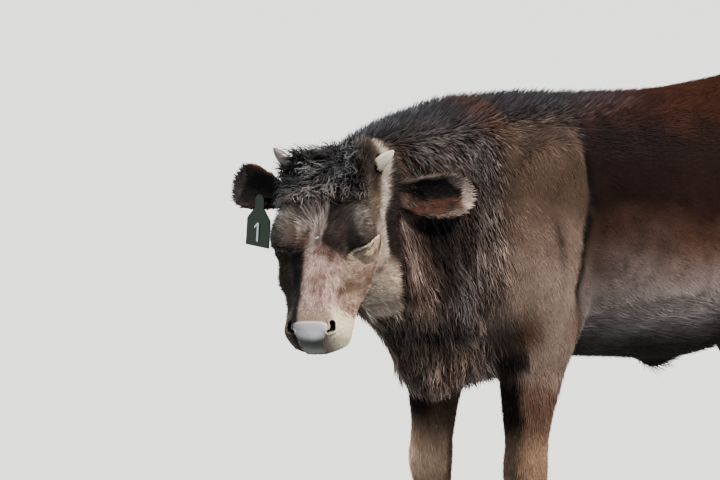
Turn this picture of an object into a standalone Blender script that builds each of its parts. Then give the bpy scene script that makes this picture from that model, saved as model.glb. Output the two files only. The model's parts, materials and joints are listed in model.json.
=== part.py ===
"""A standing beef calf of about seven months, life size, as a still museum model.

Metres, +Z up, hooves on z = 0.  The calf faces -Y, its left side is +X, and its head is turned
to its left and lowered a little.  The flesh is modelled whole, from lofts and rounded masses that
are fused, and is then parted with thin cuts into head, neck, trunk and legs.  Ears, horns, eyes,
tail and dewclaws are set in sockets.  Every outline is that of the coat, out to the hair tips.
"""

import math

import bmesh
import bpy
import numpy as np
from mathutils import Matrix, Vector

# Driving dimensions.
GAP = 0.0004                     # clearance between touching pieces
CUT = 0.0006                     # thickness of the cuts that part the flesh
LEG_SPREAD = 0.124               # from the middle plane to the middle of a leg
FORE_Y, HIND_Y = -0.385, 0.500   # fore and hind cannons along the body
CORONET = 0.060                  # height where the hair ends and the claws begin
HEAD_LENGTH = 0.345              # poll to the end of the nose
HEAD_PLACE = Vector((0.058, -0.794, 0.920))   # the poll
HEAD_TURN = 37.0                 # degrees, to the calf's left
HEAD_DROP = 56.0                 # degrees, nose below level
HEAD_TILT = 4.0                  # degrees, crown leaning to the calf's right
EAR_LENGTH = 0.172
EAR_SWEEP = {1: 30.0, -1: 32.0}  # degrees back from square, left (+1) and right (-1)
EAR_RISE = {1: 0.02, -1: 0.16}   # slope up towards the tip
EAR_THICKNESS = 0.010
HORN_LENGTH, HORN_RADIUS = 0.060, 0.0132
HORN_AIM = {1: (0.84, 0.36, 0.42), -1: (-0.66, 0.42, 0.62)}   # in the head's frame
EYE_RADIUS = 0.0170
TAG_WIDTH, TAG_HEIGHT, TAG_THICKNESS, DIGIT_THICKNESS = 0.057, 0.094, 0.0024, 0.0008
TAG_PIN = (0.36, 0.28)           # where the pin passes the ear: along it, and across it
TAG_STAND_OFF = 0.0285           # from the ear's middle surface to the panel

SIDES = {"left": 1, "right": -1}

HEAD = (
    Matrix.Translation(HEAD_PLACE)
    @ Matrix.Rotation(math.radians(HEAD_TURN), 4, "Z")
    @ Matrix.Rotation(math.radians(HEAD_DROP), 4, "X")
    @ Matrix.Rotation(math.radians(-HEAD_TILT), 4, "Y")
)

# The trunk, as curves along Y: (y, height) or (y, half width).
BACK_LINE = (
    (-0.63, 0.70), (-0.60, 0.80), (-0.52, 0.945), (-0.42, 1.012), (-0.32, 1.024), (-0.20, 1.018),
    (-0.06, 1.014), (0.10, 1.020), (0.25, 1.036), (0.38, 1.056), (0.48, 1.056), (0.57, 1.030),
    (0.63, 0.985), (0.655, 0.93),
)
BELLY_LINE = (
    (-0.63, 0.62), (-0.60, 0.565), (-0.55, 0.515), (-0.46, 0.478), (-0.36, 0.487), (-0.25, 0.510),
    (-0.10, 0.503), (0.05, 0.488), (0.18, 0.498), (0.28, 0.535), (0.36, 0.60), (0.46, 0.66),
    (0.56, 0.72), (0.63, 0.80), (0.655, 0.86),
)
HALF_WIDTH = (
    (-0.63, 0.040), (-0.60, 0.085), (-0.52, 0.130), (-0.42, 0.158), (-0.32, 0.165), (-0.22, 0.178),
    (-0.08, 0.203), (0.06, 0.217), (0.18, 0.215), (0.30, 0.196), (0.40, 0.185), (0.50, 0.165),
    (0.60, 0.125), (0.64, 0.080), (0.655, 0.045),
)
# How far up the trunk its widest level lies, as a share of its depth.
WIDEST = ((-0.63, 0.50), (-0.45, 0.42), (-0.10, 0.42), (0.20, 0.47), (0.40, 0.60), (0.655, 0.60))

# The neck, from the shoulders to the skull: (share, x, y, z, half width, half depth).
NECK = (
    (0.00, 0.000, -0.330, 0.775, 0.145, 0.235),
    (0.25, 0.004, -0.440, 0.780, 0.138, 0.240),
    (0.50, 0.014, -0.550, 0.785, 0.122, 0.222),
    (0.75, 0.036, -0.650, 0.798, 0.106, 0.188),
    (0.90, 0.052, -0.725, 0.802, 0.086, 0.156),
    (1.00, 0.064, -0.790, 0.800, 0.070, 0.126),
)
# The dewlap, from under the jaw to the brisket: (share, x, y, z, half width, half depth).
DEWLAP = (
    (0.00, 0.070, -0.706, 0.712, 0.030, 0.048),
    (0.30, 0.050, -0.662, 0.672, 0.040, 0.054),
    (0.60, 0.026, -0.602, 0.628, 0.050, 0.064),
    (1.00, 0.004, -0.510, 0.564, 0.066, 0.090),
)

# The legs: (height, x beyond LEG_SPREAD, y beyond the cannon, half width, half depth).
FORE_LEG = (
    (0.860, -0.030, 0.045, 0.040, 0.100), (0.780, 0.000, 0.015, 0.052, 0.128),
    (0.680, 0.012, 0.004, 0.058, 0.124), (0.600, 0.010, 0.014, 0.054, 0.106),
    (0.530, 0.004, 0.008, 0.050, 0.078), (0.470, 0.002, 0.000, 0.046, 0.062),
    (0.410, 0.000, -0.004, 0.040, 0.049), (0.370, 0.000, -0.006, 0.038, 0.044),
    (0.325, 0.000, -0.010, 0.043, 0.046), (0.285, -0.001, -0.006, 0.038, 0.040),
    (0.240, -0.001, 0.000, 0.030, 0.034), (0.170, -0.001, 0.002, 0.029, 0.034),
    (0.128, 0.000, 0.000, 0.037, 0.040), (0.092, 0.000, -0.014, 0.034, 0.034),
    (0.050, 0.000, -0.026, 0.041, 0.044), (0.030, 0.000, -0.030, 0.041, 0.044),
)
HIND_LEG = (
    (0.930, -0.055, -0.110, 0.050, 0.110), (0.850, -0.022, -0.062, 0.070, 0.160),
    (0.760, -0.004, -0.048, 0.080, 0.172), (0.680, 0.002, -0.050, 0.078, 0.158),
    (0.610, 0.004, -0.052, 0.070, 0.128), (0.540, 0.002, -0.040, 0.058, 0.094),
    (0.480, -0.002, -0.016, 0.047, 0.070), (0.430, -0.004, 0.008, 0.039, 0.056),
    (0.390, -0.004, 0.020, 0.037, 0.056), (0.350, -0.004, 0.020, 0.038, 0.050),
    (0.310, -0.003, 0.012, 0.035, 0.042), (0.240, -0.001, 0.000, 0.030, 0.036),
    (0.170, 0.000, -0.006, 0.030, 0.036), (0.128, 0.000, -0.010, 0.038, 0.041),
    (0.092, 0.000, -0.022, 0.035, 0.035), (0.050, 0.000, -0.034, 0.042, 0.045),
    (0.030, 0.000, -0.038, 0.042, 0.045),
)
# How far each foot stands ahead (-) or behind (+) square: the stance.
STANCE = {"fore_left": 0.006, "fore_right": -0.010, "hind_left": 0.035, "hind_right": -0.045}

# The head in its own frame: +X its left, -Y towards the nose, +Z out of the face, poll at 0.
# Each curve runs along the share of HEAD_LENGTH from the poll to the nose.
FACE_LINE = ((-0.07, -0.026), (0.0, 0.000), (0.12, 0.015), (0.30, 0.017), (0.45, 0.009), (0.60, -0.001),
             (0.78, -0.009), (0.88, -0.012), (0.95, -0.020), (1.0, -0.040))
FACE_EDGE = ((-0.07, 0.036, -0.036), (0.0, 0.064, -0.008), (0.12, 0.072, 0.003), (0.30, 0.070, 0.002),
             (0.45, 0.060, -0.004), (0.58, 0.042, -0.010), (0.78, 0.032, -0.017), (0.88, 0.037, -0.019),
             (0.95, 0.037, -0.030), (1.0, 0.023, -0.048))
CHEEK = ((-0.07, 0.052, -0.060), (0.0, 0.079, -0.052), (0.12, 0.088, -0.052), (0.30, 0.092, -0.056),
         (0.45, 0.091, -0.056), (0.60, 0.080, -0.068), (0.78, 0.061, -0.070), (0.88, 0.059, -0.065),
         (0.95, 0.054, -0.066), (1.0, 0.035, -0.066))
JAW_EDGE = ((-0.07, 0.036, -0.088), (0.0, 0.062, -0.104), (0.12, 0.073, -0.125), (0.30, 0.074, -0.138),
            (0.45, 0.065, -0.132), (0.60, 0.052, -0.118), (0.78, 0.042, -0.106), (0.88, 0.045, -0.103),
            (0.95, 0.039, -0.096), (1.0, 0.021, -0.080))
JAW_LINE = ((-0.07, -0.098), (0.0, -0.125), (0.12, -0.157), (0.30, -0.174), (0.45, -0.164), (0.60, -0.145),
            (0.78, -0.127), (0.88, -0.122), (0.95, -0.110), (1.0, -0.088))

NOSTRIL_PLACE = Vector((0.0340, -0.324, -0.029))   # in the head's frame, on its left
EYE_PLACE = Vector((0.0740, -0.156, -0.034))
EYE_FACING = Vector((0.90, -0.28, 0.34))

# The cut between head and neck, seen from the side of the head: (back from the poll, up from it).
THROAT_CUT = ((0.012, 0.095), (0.070, 0.015), (0.122, -0.060), (0.156, -0.135), (0.142, -0.185),
              (0.098, -0.225), (0.055, -0.262), (0.015, -0.310))

# The ear: (share of length, half width, half of the bend across it in degrees).
EAR = ((0.00, 0.022, 100), (0.15, 0.030, 88), (0.35, 0.041, 70), (0.55, 0.045, 58),
       (0.75, 0.043, 48), (0.90, 0.032, 38), (0.97, 0.020, 30), (1.00, 0.010, 25))
EAR_ROOT = Vector((0.081, -0.044, -0.074))     # in the head's frame, on its left

TAIL = (
    (0.00, 0.000, 0.580, 0.990, 0.034), (0.12, 0.000, 0.630, 0.984, 0.031),
    (0.22, 0.002, 0.668, 0.945, 0.026), (0.36, 0.004, 0.684, 0.860, 0.021),
    (0.65, 0.006, 0.686, 0.700, 0.017), (1.00, 0.004, 0.684, 0.500, 0.014),
)
SWITCH = (
    (0.00, 0.004, 0.684, 0.520, 0.015), (0.25, 0.004, 0.684, 0.450, 0.024),
    (0.60, 0.004, 0.686, 0.370, 0.031), (0.85, 0.004, 0.686, 0.310, 0.024),
    (1.00, 0.004, 0.686, 0.275, 0.008),
)

COAT_COLOUR = (0.030, 0.017, 0.012)
COLOURS = {
    "coat": (COAT_COLOUR, 0.75), "horn": ((0.62, 0.55, 0.42), 0.45), "eye": ((0.012, 0.009, 0.008), 0.06),
    "claw": ((0.035, 0.032, 0.030), 0.5), "tag": ((0.015, 0.055, 0.022), 0.4),
    "tag_print": ((0.80, 0.82, 0.78), 0.5),
}


# ---------------------------------------------------------------- tools

def clear_scene():
    for obj in list(bpy.data.objects):
        bpy.data.objects.remove(obj, do_unlink=True)


def collection(name):
    made = bpy.data.collections.new(name)
    bpy.context.scene.collection.children.link(made)
    return made


def material(slot):
    rgb, roughness = COLOURS[slot]
    found = bpy.data.materials.get(slot)
    if found:
        return found
    made = bpy.data.materials.new(slot)
    made.use_nodes = True
    shader = made.node_tree.nodes["Principled BSDF"]
    shader.inputs["Base Color"].default_value = (*rgb, 1.0)
    shader.inputs["Roughness"].default_value = roughness
    return made


def spline(knots, places):
    """The values, at places, of a smooth curve through (place, value, ...) knots."""
    knots = np.array(knots, float)
    at, values = knots[:, 0], knots[:, 1:]
    slopes = np.gradient(values, at, axis=0)
    places = np.atleast_1d(np.asarray(places, float))
    left = np.clip(np.searchsorted(at, places) - 1, 0, len(at) - 2)
    step = (at[left + 1] - at[left])[:, None]
    s = (places - at[left])[:, None] / step
    return (
        values[left] * (1 + 2 * s) * (1 - s) ** 2 + slopes[left] * step * s * (1 - s) ** 2
        + values[left + 1] * s ** 2 * (3 - 2 * s) + slopes[left + 1] * step * s ** 2 * (s - 1)
    )


def spread(knots, count):
    """Evenly spaced places from the first knot to the last."""
    return np.linspace(knots[0][0], knots[-1][0], count)


def new_object(name, mesh, home):
    obj = bpy.data.objects.new(name, mesh)
    home.objects.link(obj)
    return obj


def from_bmesh(name, bm, home):
    bm.normal_update()
    bmesh.ops.recalc_face_normals(bm, faces=bm.faces)
    mesh = bpy.data.meshes.new(name)
    bm.to_mesh(mesh)
    bm.free()
    return new_object(name, mesh, home)


def loft(name, rings, home):
    """A closed tube through rings of points, with flat ends."""
    bm = bmesh.new()
    rows = [[bm.verts.new(point) for point in ring] for ring in rings]
    count = len(rows[0])
    for low, high in zip(rows, rows[1:]):
        for i in range(count):
            j = (i + 1) % count
            bm.faces.new((low[i], low[j], high[j], high[i]))
    bm.faces.new(rows[0])
    bm.faces.new(rows[-1])
    return from_bmesh(name, bm, home)


def superellipse(count, power):
    """Unit (across, up) points round a superellipse."""
    turn = np.linspace(0, 2 * math.pi, count, endpoint=False)
    c, s = np.cos(turn), np.sin(turn)
    return np.sign(c) * np.abs(c) ** (2 / power), np.sign(s) * np.abs(s) ** (2 / power)


def sweep(name, centres, across, along, reference, home, count=24, power=2.2):
    """A tube along centres: half size `across` sideways, and `along` towards the reference."""
    centres = np.array(centres, float)
    tangent = np.gradient(centres, axis=0)
    tangent /= np.linalg.norm(tangent, axis=1)[:, None]
    side = np.cross(tangent, np.array(reference, float))
    side /= np.linalg.norm(side, axis=1)[:, None]
    front = np.cross(side, tangent)
    x, y = superellipse(count, power)
    rings = (
        centres[:, None, :]
        + side[:, None, :] * (np.array(across)[:, None] * x)[:, :, None]
        + front[:, None, :] * (np.array(along)[:, None] * y)[:, :, None]
    )
    return loft(name, rings, home)


def blob(name, centre, radii, home, turn=(0, 0, 0), detail=3):
    """An ellipsoid, turned by degrees about X, Y and Z."""
    bm = bmesh.new()
    bmesh.ops.create_icosphere(bm, subdivisions=detail, radius=1.0)
    spin = Matrix.Identity(4)
    for angle, axis in zip(turn, "XYZ"):
        spin = Matrix.Rotation(math.radians(angle), 4, axis) @ spin
    bm.transform(Matrix.Translation(centre) @ spin @ Matrix.Diagonal((*radii, 1.0)))
    return from_bmesh(name, bm, home)


def settle(obj, name, home):
    """A new object with obj's evaluated mesh; obj is removed."""
    graph = bpy.context.evaluated_depsgraph_get()
    mesh = bpy.data.meshes.new_from_object(obj.evaluated_get(graph))
    bpy.data.objects.remove(obj, do_unlink=True)
    return new_object(name, mesh, home)


def gather(name, pieces, home):
    """The pieces as one mesh of several bodies."""
    bm = bmesh.new()
    for piece in pieces:
        bm.from_mesh(piece.data)
        bpy.data.objects.remove(piece, do_unlink=True)
    mesh = bpy.data.meshes.new(name)
    bm.to_mesh(mesh)
    bm.free()
    return new_object(name, mesh, home)


def fuse(name, pieces, voxel, rounds, home):
    """One smooth skin round overlapping pieces."""
    obj = gather(name, pieces, home)
    remesh = obj.modifiers.new("fuse", "REMESH")
    remesh.mode = "VOXEL"
    remesh.voxel_size = voxel
    smooth = obj.modifiers.new("smooth", "SMOOTH")
    smooth.factor = 0.5
    smooth.iterations = rounds
    return settle(obj, name, home)


def reduce(obj, triangles):
    """Simplifies obj to about that many triangles."""
    obj.data.calc_loop_triangles()
    simpler = obj.modifiers.new("reduce", "DECIMATE")
    simpler.ratio = min(1.0, triangles / len(obj.data.loop_triangles))
    return simpler


# ---------------------------------------------------------------- body forms

def trunk_forms(home):
    places = spread(BACK_LINE, 56)
    top, bottom = spline(BACK_LINE, places)[:, 0], spline(BELLY_LINE, places)[:, 0]
    half, share = spline(HALF_WIDTH, places)[:, 0], spline(WIDEST, places)[:, 0]
    level = bottom + share * (top - bottom)
    x, up = superellipse(40, 2.1)
    height = np.where(up > 0, (top - level)[:, None] * up, (level - bottom)[:, None] * up)
    rings = np.stack(
        [half[:, None] * x, np.repeat(places[:, None], 40, 1), level[:, None] + height], axis=2
    )
    forms = [loft("barrel", rings, home)]
    forms.append(blob("brisket", (0.004, -0.510, 0.552), (0.076, 0.088, 0.094), home, (18, 0, 0)))
    forms.append(blob("sheath", (0.0, 0.085, 0.492), (0.030, 0.062, 0.024), home, (14, 0, 0)))
    forms.append(blob("sheath_tip", (0.0, 0.068, 0.478), (0.016, 0.018, 0.020), home))
    for side in SIDES.values():
        blade_turn = (-14, side * 14, 0)
        forms.append(blob("blade", (side * 0.094, -0.350, 0.795), (0.064, 0.118, 0.172), home, blade_turn))
        arm_turn = (22, 0, 0)
        forms.append(blob("upper_arm", (side * 0.136, -0.385, 0.700), (0.064, 0.115, 0.120), home, arm_turn))
        forms.append(blob("elbow", (side * 0.142, -0.300, 0.612), (0.034, 0.036, 0.042), home))
        forms.append(blob("hook", (side * 0.150, 0.350, 0.965), (0.036, 0.050, 0.036), home))
        forms.append(blob("pin", (side * 0.078, 0.608, 0.915), (0.038, 0.036, 0.040), home))
        forms.append(blob("rump", (side * 0.105, 0.450, 0.880), (0.090, 0.150, 0.120), home))
        forms.append(blob("flank", (side * 0.142, 0.270, 0.640), (0.036, 0.100, 0.110), home, (-35, 0, 0)))
    return forms


def neck_forms(home):
    forms = []
    for name, knots in (("neck", NECK), ("dewlap", DEWLAP)):
        values = spline(knots, spread(knots, 24))
        forms.append(sweep(name, values[:, :3], values[:, 3], values[:, 4], (0, 0, 1), home, count=32))
    return forms


def leg_form(name, stations, side, y, home):
    knots = np.array(stations)[::-1]
    values = spline(knots, np.linspace(knots[0, 0], knots[-1, 0], 44))
    heights = np.linspace(knots[0, 0], knots[-1, 0], 44)
    centres = np.stack([side * (LEG_SPREAD + values[:, 0]), y + values[:, 1], heights], axis=1)
    return sweep(name, centres, values[:, 2], values[:, 3], (0, -1, 0), home, count=28, power=2.25)


def stance_y(leg):
    """Where along the body that foot stands."""
    return (FORE_Y if leg.startswith("fore") else HIND_Y) + STANCE[leg]


def leg_forms(home):
    """The legs.  A foot's place shifts with the stance, and the leg's top stays in the body."""
    forms = []
    for leg, shift in STANCE.items():
        stations = FORE_LEG if leg.startswith("fore") else HIND_LEG
        top = stations[0][0]
        leaned = [
            (z, x, y - shift * min(1.0, max(0.0, (z - 0.30) / (top - 0.45))), half, deep)
            for z, x, y, half, deep in stations
        ]
        forms.append(leg_form(leg, leaned, SIDES[leg.split("_")[1]], stance_y(leg), home))
    for leg in ("hind_left", "hind_right"):
        side = SIDES[leg.split("_")[1]]
        y = stance_y(leg)
        place = (side * (LEG_SPREAD - 0.004), y + 0.058, 0.400)
        forms.append(blob("hock", place, (0.018, 0.022, 0.034), home))
    return forms


# ---------------------------------------------------------------- head forms

def head_rings():
    """Cross-sections from the poll to the nose, each through eight points of the outline."""
    places = spread(FACE_LINE, 40)
    face, jaw = spline(FACE_LINE, places)[:, 0], spline(JAW_LINE, places)[:, 0]
    edges = [spline(curve, places) for curve in (FACE_EDGE, CHEEK, JAW_EDGE)]
    rings = []
    for i, place in enumerate(places):
        left = [(edge[i, 0], edge[i, 1]) for edge in edges]
        outline = [(0.0, face[i]), *left, (0.0, jaw[i]), *[(-x, z) for x, z in reversed(left)]]
        wrapped = outline[-2:] + outline + outline[:3]
        knots = [(k - 2, *point) for k, point in enumerate(wrapped)]
        around = spline(knots, np.arange(32) / 4)
        rings.append([(x, -place * HEAD_LENGTH, z) for x, z in around])
    return rings


def head_forms(home):
    """The masses of the head, in the head's frame."""
    forms = [loft("skull", head_rings(), home)]
    forms.append(blob("forelock", (0.0, -0.048, 0.006), (0.060, 0.050, 0.021), home))
    forms.append(blob("occiput", (0.0, 0.012, -0.060), (0.066, 0.044, 0.060), home))
    forms.append(blob("nose", (0.0, -0.326, -0.053), (0.041, 0.027, 0.029), home))
    forms.append(blob("chin", (0.0, -0.300, -0.100), (0.037, 0.032, 0.020), home))
    for side in SIDES.values():
        forms.append(blob("mop", (side * 0.040, -0.006, -0.010), (0.048, 0.036, 0.036), home))
        brow_turn, bone_turn = (0, side * 35, side * 8), (0, 0, side * 14)
        forms.append(blob("brow", (side * 0.069, -0.136, -0.010), (0.027, 0.044, 0.024), home, brow_turn))
        forms.append(blob("orbit", (side * 0.073, -0.154, -0.034), (0.021, 0.034, 0.028), home))
        bone = (side * 0.063, -0.184, -0.060)
        forms.append(blob("cheekbone", bone, (0.020, 0.050, 0.018), home, bone_turn))
        forms.append(blob("masseter", (side * 0.070, -0.104, -0.106), (0.028, 0.066, 0.058), home))
        forms.append(blob("nostril_wing", (side * 0.036, -0.320, -0.044), (0.019, 0.022, 0.024), home))
        forms.append(blob("lip", (side * 0.036, -0.304, -0.078), (0.023, 0.034, 0.025), home))
        forms.append(blob("horn_boss", (side * 0.074, -0.010, -0.012), (0.019, 0.019, 0.019), home))
    return forms


def ear_axes(side):
    """Along the ear, across it, and out of its hollow, in the world."""
    sweep_back = math.radians(EAR_SWEEP[side])
    turn = Matrix.Rotation(math.radians(HEAD_TURN), 3, "Z")
    along = turn @ Vector((side * math.cos(sweep_back), math.sin(sweep_back), EAR_RISE[side]))
    along.normalize()
    facing = turn @ Vector((0.0, -1.0, 0.12))
    facing = (facing - facing.dot(along) * along).normalized()
    return along, facing.cross(along).normalized(), facing


def ear(name, side, home):
    """A cupped leaf, given its thickness by Solidify."""
    bm = bmesh.new()
    rows = []
    for share in np.linspace(0, 1, 10):
        rows.append([bm.verts.new(ear_point(side, share, t)) for t in np.linspace(-1, 1, 8)])
    for low, high in zip(rows, rows[1:]):
        for i in range(len(low) - 1):
            bm.faces.new((low[i], low[i + 1], high[i + 1], high[i]))
    obj = from_bmesh(name, bm, home)
    shell = obj.modifiers.new("thickness", "SOLIDIFY")
    shell.thickness = EAR_THICKNESS
    shell.offset = 0.0
    return settle(obj, name, home)


def horn(name, side, home):
    """A short blunt cone that points out and up, and curves up a little."""
    share = np.linspace(0, 1, 8)
    start = Vector((side * 0.064, -0.019, -0.022))
    out = Vector(HORN_AIM[side]).normalized() * HORN_LENGTH
    bend = Vector((0.0, 0.08, 0.05)) * HORN_LENGTH
    centres = [HEAD @ (start + out * s + bend * s * s) for s in share]
    radius = HORN_RADIUS * np.sqrt(np.clip(1.0 - share ** 2.6, 0.02, 1))
    return sweep(name, centres, radius, radius, (0, 0, 1), home, count=12, power=2.0)


# ---------------------------------------------------------------- tail, feet, tag

def tail(name, knots, home, rings=14, count=12):
    values = spline(knots, spread(knots, rings))
    return sweep(name, values[:, :3], values[:, 3], values[:, 3], (1, 0, 0), home, count=count, power=2.0)


def claw(name, leg, outer, home):
    """One of the two claws of a foot: flat sole, upright heel and sloping toe."""
    side = SIDES[leg.split("_")[1]]
    y = stance_y(leg) + (FORE_LEG if leg.startswith("fore") else HIND_LEG)[-2][2]
    x = side * LEG_SPREAD + (side if outer else -side) * 0.0212
    levels = (
        # height, half width, half length, forward (-) or back (+)
        (0.0, 0.0205, 0.0500, -0.018), (0.012, 0.0203, 0.0490, -0.016),
        (0.040, 0.0198, 0.0435, -0.006), (CORONET - GAP, 0.0185, 0.0385, 0.002),
    )
    outline = list(zip(*superellipse(12, 2.5)))
    rings = [
        [(x + half * a, y + shift + deep * b, z) for a, b in outline] for z, half, deep, shift in levels
    ]
    return loft(name, rings, home)


def dewclaw(name, leg, outer, home):
    """A small horn nub behind the fetlock."""
    side = SIDES[leg.split("_")[1]]
    shift = 0.0 if leg.startswith("fore") else -0.010
    x = side * LEG_SPREAD + (side if outer else -side) * 0.020
    centre = Vector((x, stance_y(leg) + shift + 0.034, 0.108))
    return blob(name, centre, (0.0095, 0.0115, 0.0165), home, (28, 0, 0), detail=1)


def ear_point(side, share, t):
    """A point of the ear's middle surface: t runs across it from -1 to 1."""
    along, across, facing = ear_axes(side)
    half, bend = spline(EAR, share)[0]
    bend = math.radians(bend)
    point = HEAD @ Vector((side * EAR_ROOT.x, EAR_ROOT.y, EAR_ROOT.z))
    point += along * (share * EAR_LENGTH) + across * (half / bend * math.sin(bend * t))
    return point + facing * (half / bend * (1 - math.cos(bend * t)) - 0.012 * share)


def tag_frame():
    """Where the tag's pin passes the right ear, and across, up and out of the hanging panel."""
    out = ear_axes(-1)[2]
    out = Vector((out.x, out.y, 0.0)).normalized()
    up = Vector((0, 0, 1))
    right = up.cross(out).normalized()
    lean = Matrix.Rotation(math.radians(-5.0), 3, out)
    return ear_point(-1, TAG_PIN[0], TAG_PIN[1]), lean @ right, lean @ up, out


def placed(obj, place, right, up, out):
    frame = Matrix((right, up, out)).transposed().to_4x4()
    frame.translation = place
    obj.data.transform(frame)
    return obj


def plate(name, outline, thickness, home):
    """A flat plate with that outline, centred on its middle plane."""
    rings = [[(x, y, z) for x, y in outline] for z in (-thickness / 2, thickness / 2)]
    return loft(name, rings, home)


def ear_tag(home):
    """The hanging panel, its plain digit, and the stud that holds it through the ear."""
    place, right, up, out = tag_frame()
    half, head = TAG_WIDTH / 2, 0.011
    outline = [(-half, -TAG_HEIGHT + head), (half, -TAG_HEIGHT + head), (half, -0.034), (0.011, -0.014)]
    outline += [(head * math.cos(a), head * math.sin(a)) for a in np.linspace(0, math.pi, 7)]
    outline += [(-0.011, -0.014), (-half, -0.034)]
    panel = plate("ear_tag_panel", outline, TAG_THICKNESS, home)
    placed(panel, place + out * TAG_STAND_OFF, right, up, out)
    stroke = [(-0.002, -0.074), (0.0025, -0.074), (0.0025, -0.040), (-0.001, -0.040), (-0.0085, -0.047),
              (-0.0085, -0.051), (-0.002, -0.046)]
    digit = plate("ear_tag_digit", stroke, DIGIT_THICKNESS, home)
    lift = TAG_STAND_OFF + (TAG_THICKNESS + DIGIT_THICKNESS) / 2 + GAP
    placed(digit, place + out * lift, right, up, out)
    levels = (-0.0130, -0.0100, -0.0095, TAG_STAND_OFF - TAG_THICKNESS / 2 - GAP)
    radii = (0.0105, 0.0105, 0.0035, 0.0035)
    centres = [place + out * level for level in levels]
    stud = sweep("ear_tag_stud", centres, radii, radii, up, home, count=12, power=2.0)
    return [panel, digit, stud]


# ---------------------------------------------------------------- cutting and assembly

def slab(name, centre, normal, size, home, thickness=CUT):
    """A thin square plate that parts the flesh where it passes."""
    bm = bmesh.new()
    bmesh.ops.create_cube(bm, size=1.0)
    turn = Vector(normal).to_track_quat("Z", "Y").to_matrix().to_4x4()
    bm.transform(Matrix.Translation(centre) @ turn @ Matrix.Diagonal((*size, thickness, 1.0)))
    return from_bmesh(name, bm, home)


def bent_plate(name, profile, width, frame, home, thickness=CUT):
    """A thin plate whose cross-section follows a profile of (y, z) points in the frame."""
    points = np.array(profile)
    along = np.gradient(points, axis=0)
    along /= np.linalg.norm(along, axis=1)[:, None]
    offset = np.stack([-along[:, 1], along[:, 0]], axis=1) * thickness / 2
    outline = [*(points + offset), *(points - offset)[::-1]]
    bm = bmesh.new()
    rows = [[bm.verts.new(frame @ Vector((x, y, z))) for y, z in outline] for x in (-width / 2, width / 2)]
    count = len(points)
    for i in range(2 * count):
        j = (i + 1) % (2 * count)
        bm.faces.new((rows[0][i], rows[0][j], rows[1][j], rows[1][i]))
    for row in rows:
        for i in range(count - 1):
            bm.faces.new((row[i], row[i + 1], row[2 * count - 2 - i], row[2 * count - 1 - i]))
    return from_bmesh(name, bm, home)


def part_cutters(home):
    """Thin plates behind the jaw, at the neck's base and at the legs' tops, and blocks under the legs."""
    frame = Matrix.Translation(HEAD_PLACE) @ Matrix.Rotation(math.radians(HEAD_TURN), 4, "Z")
    cutters = [bent_plate("cut_head", THROAT_CUT, 0.44, frame, home)]
    cutters.append(slab("cut_neck", (0.0, -0.515, 0.78), (0.0, -0.93, 0.36), (0.60, 0.80), home))
    for leg in STANCE:
        side = SIDES[leg.split("_")[1]]
        y = stance_y(leg)
        if leg.startswith("fore"):
            place = (side * 0.128, FORE_Y + 0.01, 0.497)
            facing, size = (-side * 0.36, 0.0, 1.0), (0.26, 0.26)
        else:
            place = (side * 0.135, 0.470, 0.645)
            facing, size = (-side * 0.30, -0.52, 1.0), (0.29, 0.52)
        cutters.append(slab("cut_" + leg, place, facing, size, home))
        under = (side * LEG_SPREAD, y - 0.03, CORONET - 0.05)
        cutters.append(slab("foot_" + leg, under, (0, 0, 1), (0.16, 0.20), home, 0.10))
    return cutters


NODE_SEEDS = {
    "head": HEAD @ Vector((0.0, -0.17, -0.08)), "neck": Vector((0.02, -0.60, 0.80)),
    "trunk": Vector((0.0, 0.02, 0.78)), "foreleg_left": Vector((0.13, -0.385, 0.30)),
    "foreleg_right": Vector((-0.13, -0.385, 0.30)), "hindleg_left": Vector((0.13, 0.50, 0.40)),
    "hindleg_right": Vector((-0.13, 0.46, 0.40)),
}
NODE_TRIANGLES = {
    "head": 1450, "neck": 500, "trunk": 1300, "foreleg_left": 380, "foreleg_right": 380,
    "hindleg_left": 480, "hindleg_right": 480,
}


def middle(obj):
    points = np.empty(len(obj.data.vertices) * 3, np.float32)
    obj.data.vertices.foreach_get("co", points)
    points = points.reshape(-1, 3)
    return Vector((points.min(0) + points.max(0)) / 2)


def part_flesh(flesh, cutter, home):
    """Cuts the whole flesh and names each separate body by the seed nearest its middle."""
    cut = flesh.modifiers.new("part", "BOOLEAN")
    cut.operation = "DIFFERENCE"
    cut.object = cutter
    whole = settle(flesh, "flesh", home)
    bpy.data.objects.remove(cutter, do_unlink=True)
    bpy.context.view_layer.objects.active = whole
    whole.select_set(True)
    bpy.ops.object.mode_set(mode="EDIT")
    bpy.ops.mesh.select_all(action="SELECT")
    bpy.ops.mesh.separate(type="LOOSE")
    bpy.ops.object.mode_set(mode="OBJECT")
    bodies = {}
    for obj in [o for o in home.objects if o.name.startswith("flesh")]:
        name = min(NODE_SEEDS, key=lambda seed: (NODE_SEEDS[seed] - middle(obj)).length)
        if name in bodies:
            raise RuntimeError(f"the cuts left more than one body at {name}")
        bodies[name] = obj
    missing = set(NODE_SEEDS) - set(bodies)
    if missing:
        raise RuntimeError(f"the cuts left no separate {sorted(missing)}")
    for name, obj in bodies.items():
        obj.name = name
        reduce(obj, NODE_TRIANGLES[name])
        bodies[name] = settle(obj, name, home)
    return bodies


def socket(host, guest, helpers, grow=GAP):
    """Cuts the guest's shape, grown by the clearance, out of the host."""
    bm = bmesh.new()
    bm.from_mesh(guest.data)
    bm.normal_update()
    for vert in bm.verts:
        vert.co += vert.normal * grow
    cutter = from_bmesh(f"socket_{guest.name}_{host.name}", bm, helpers)
    carve(host, cutter)


def carve(host, cutter):
    cutter.hide_render = True
    cutter.display_type = "WIRE"
    cut = host.modifiers.new(cutter.name, "BOOLEAN")
    cut.operation = "DIFFERENCE"
    cut.object = cutter


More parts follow.
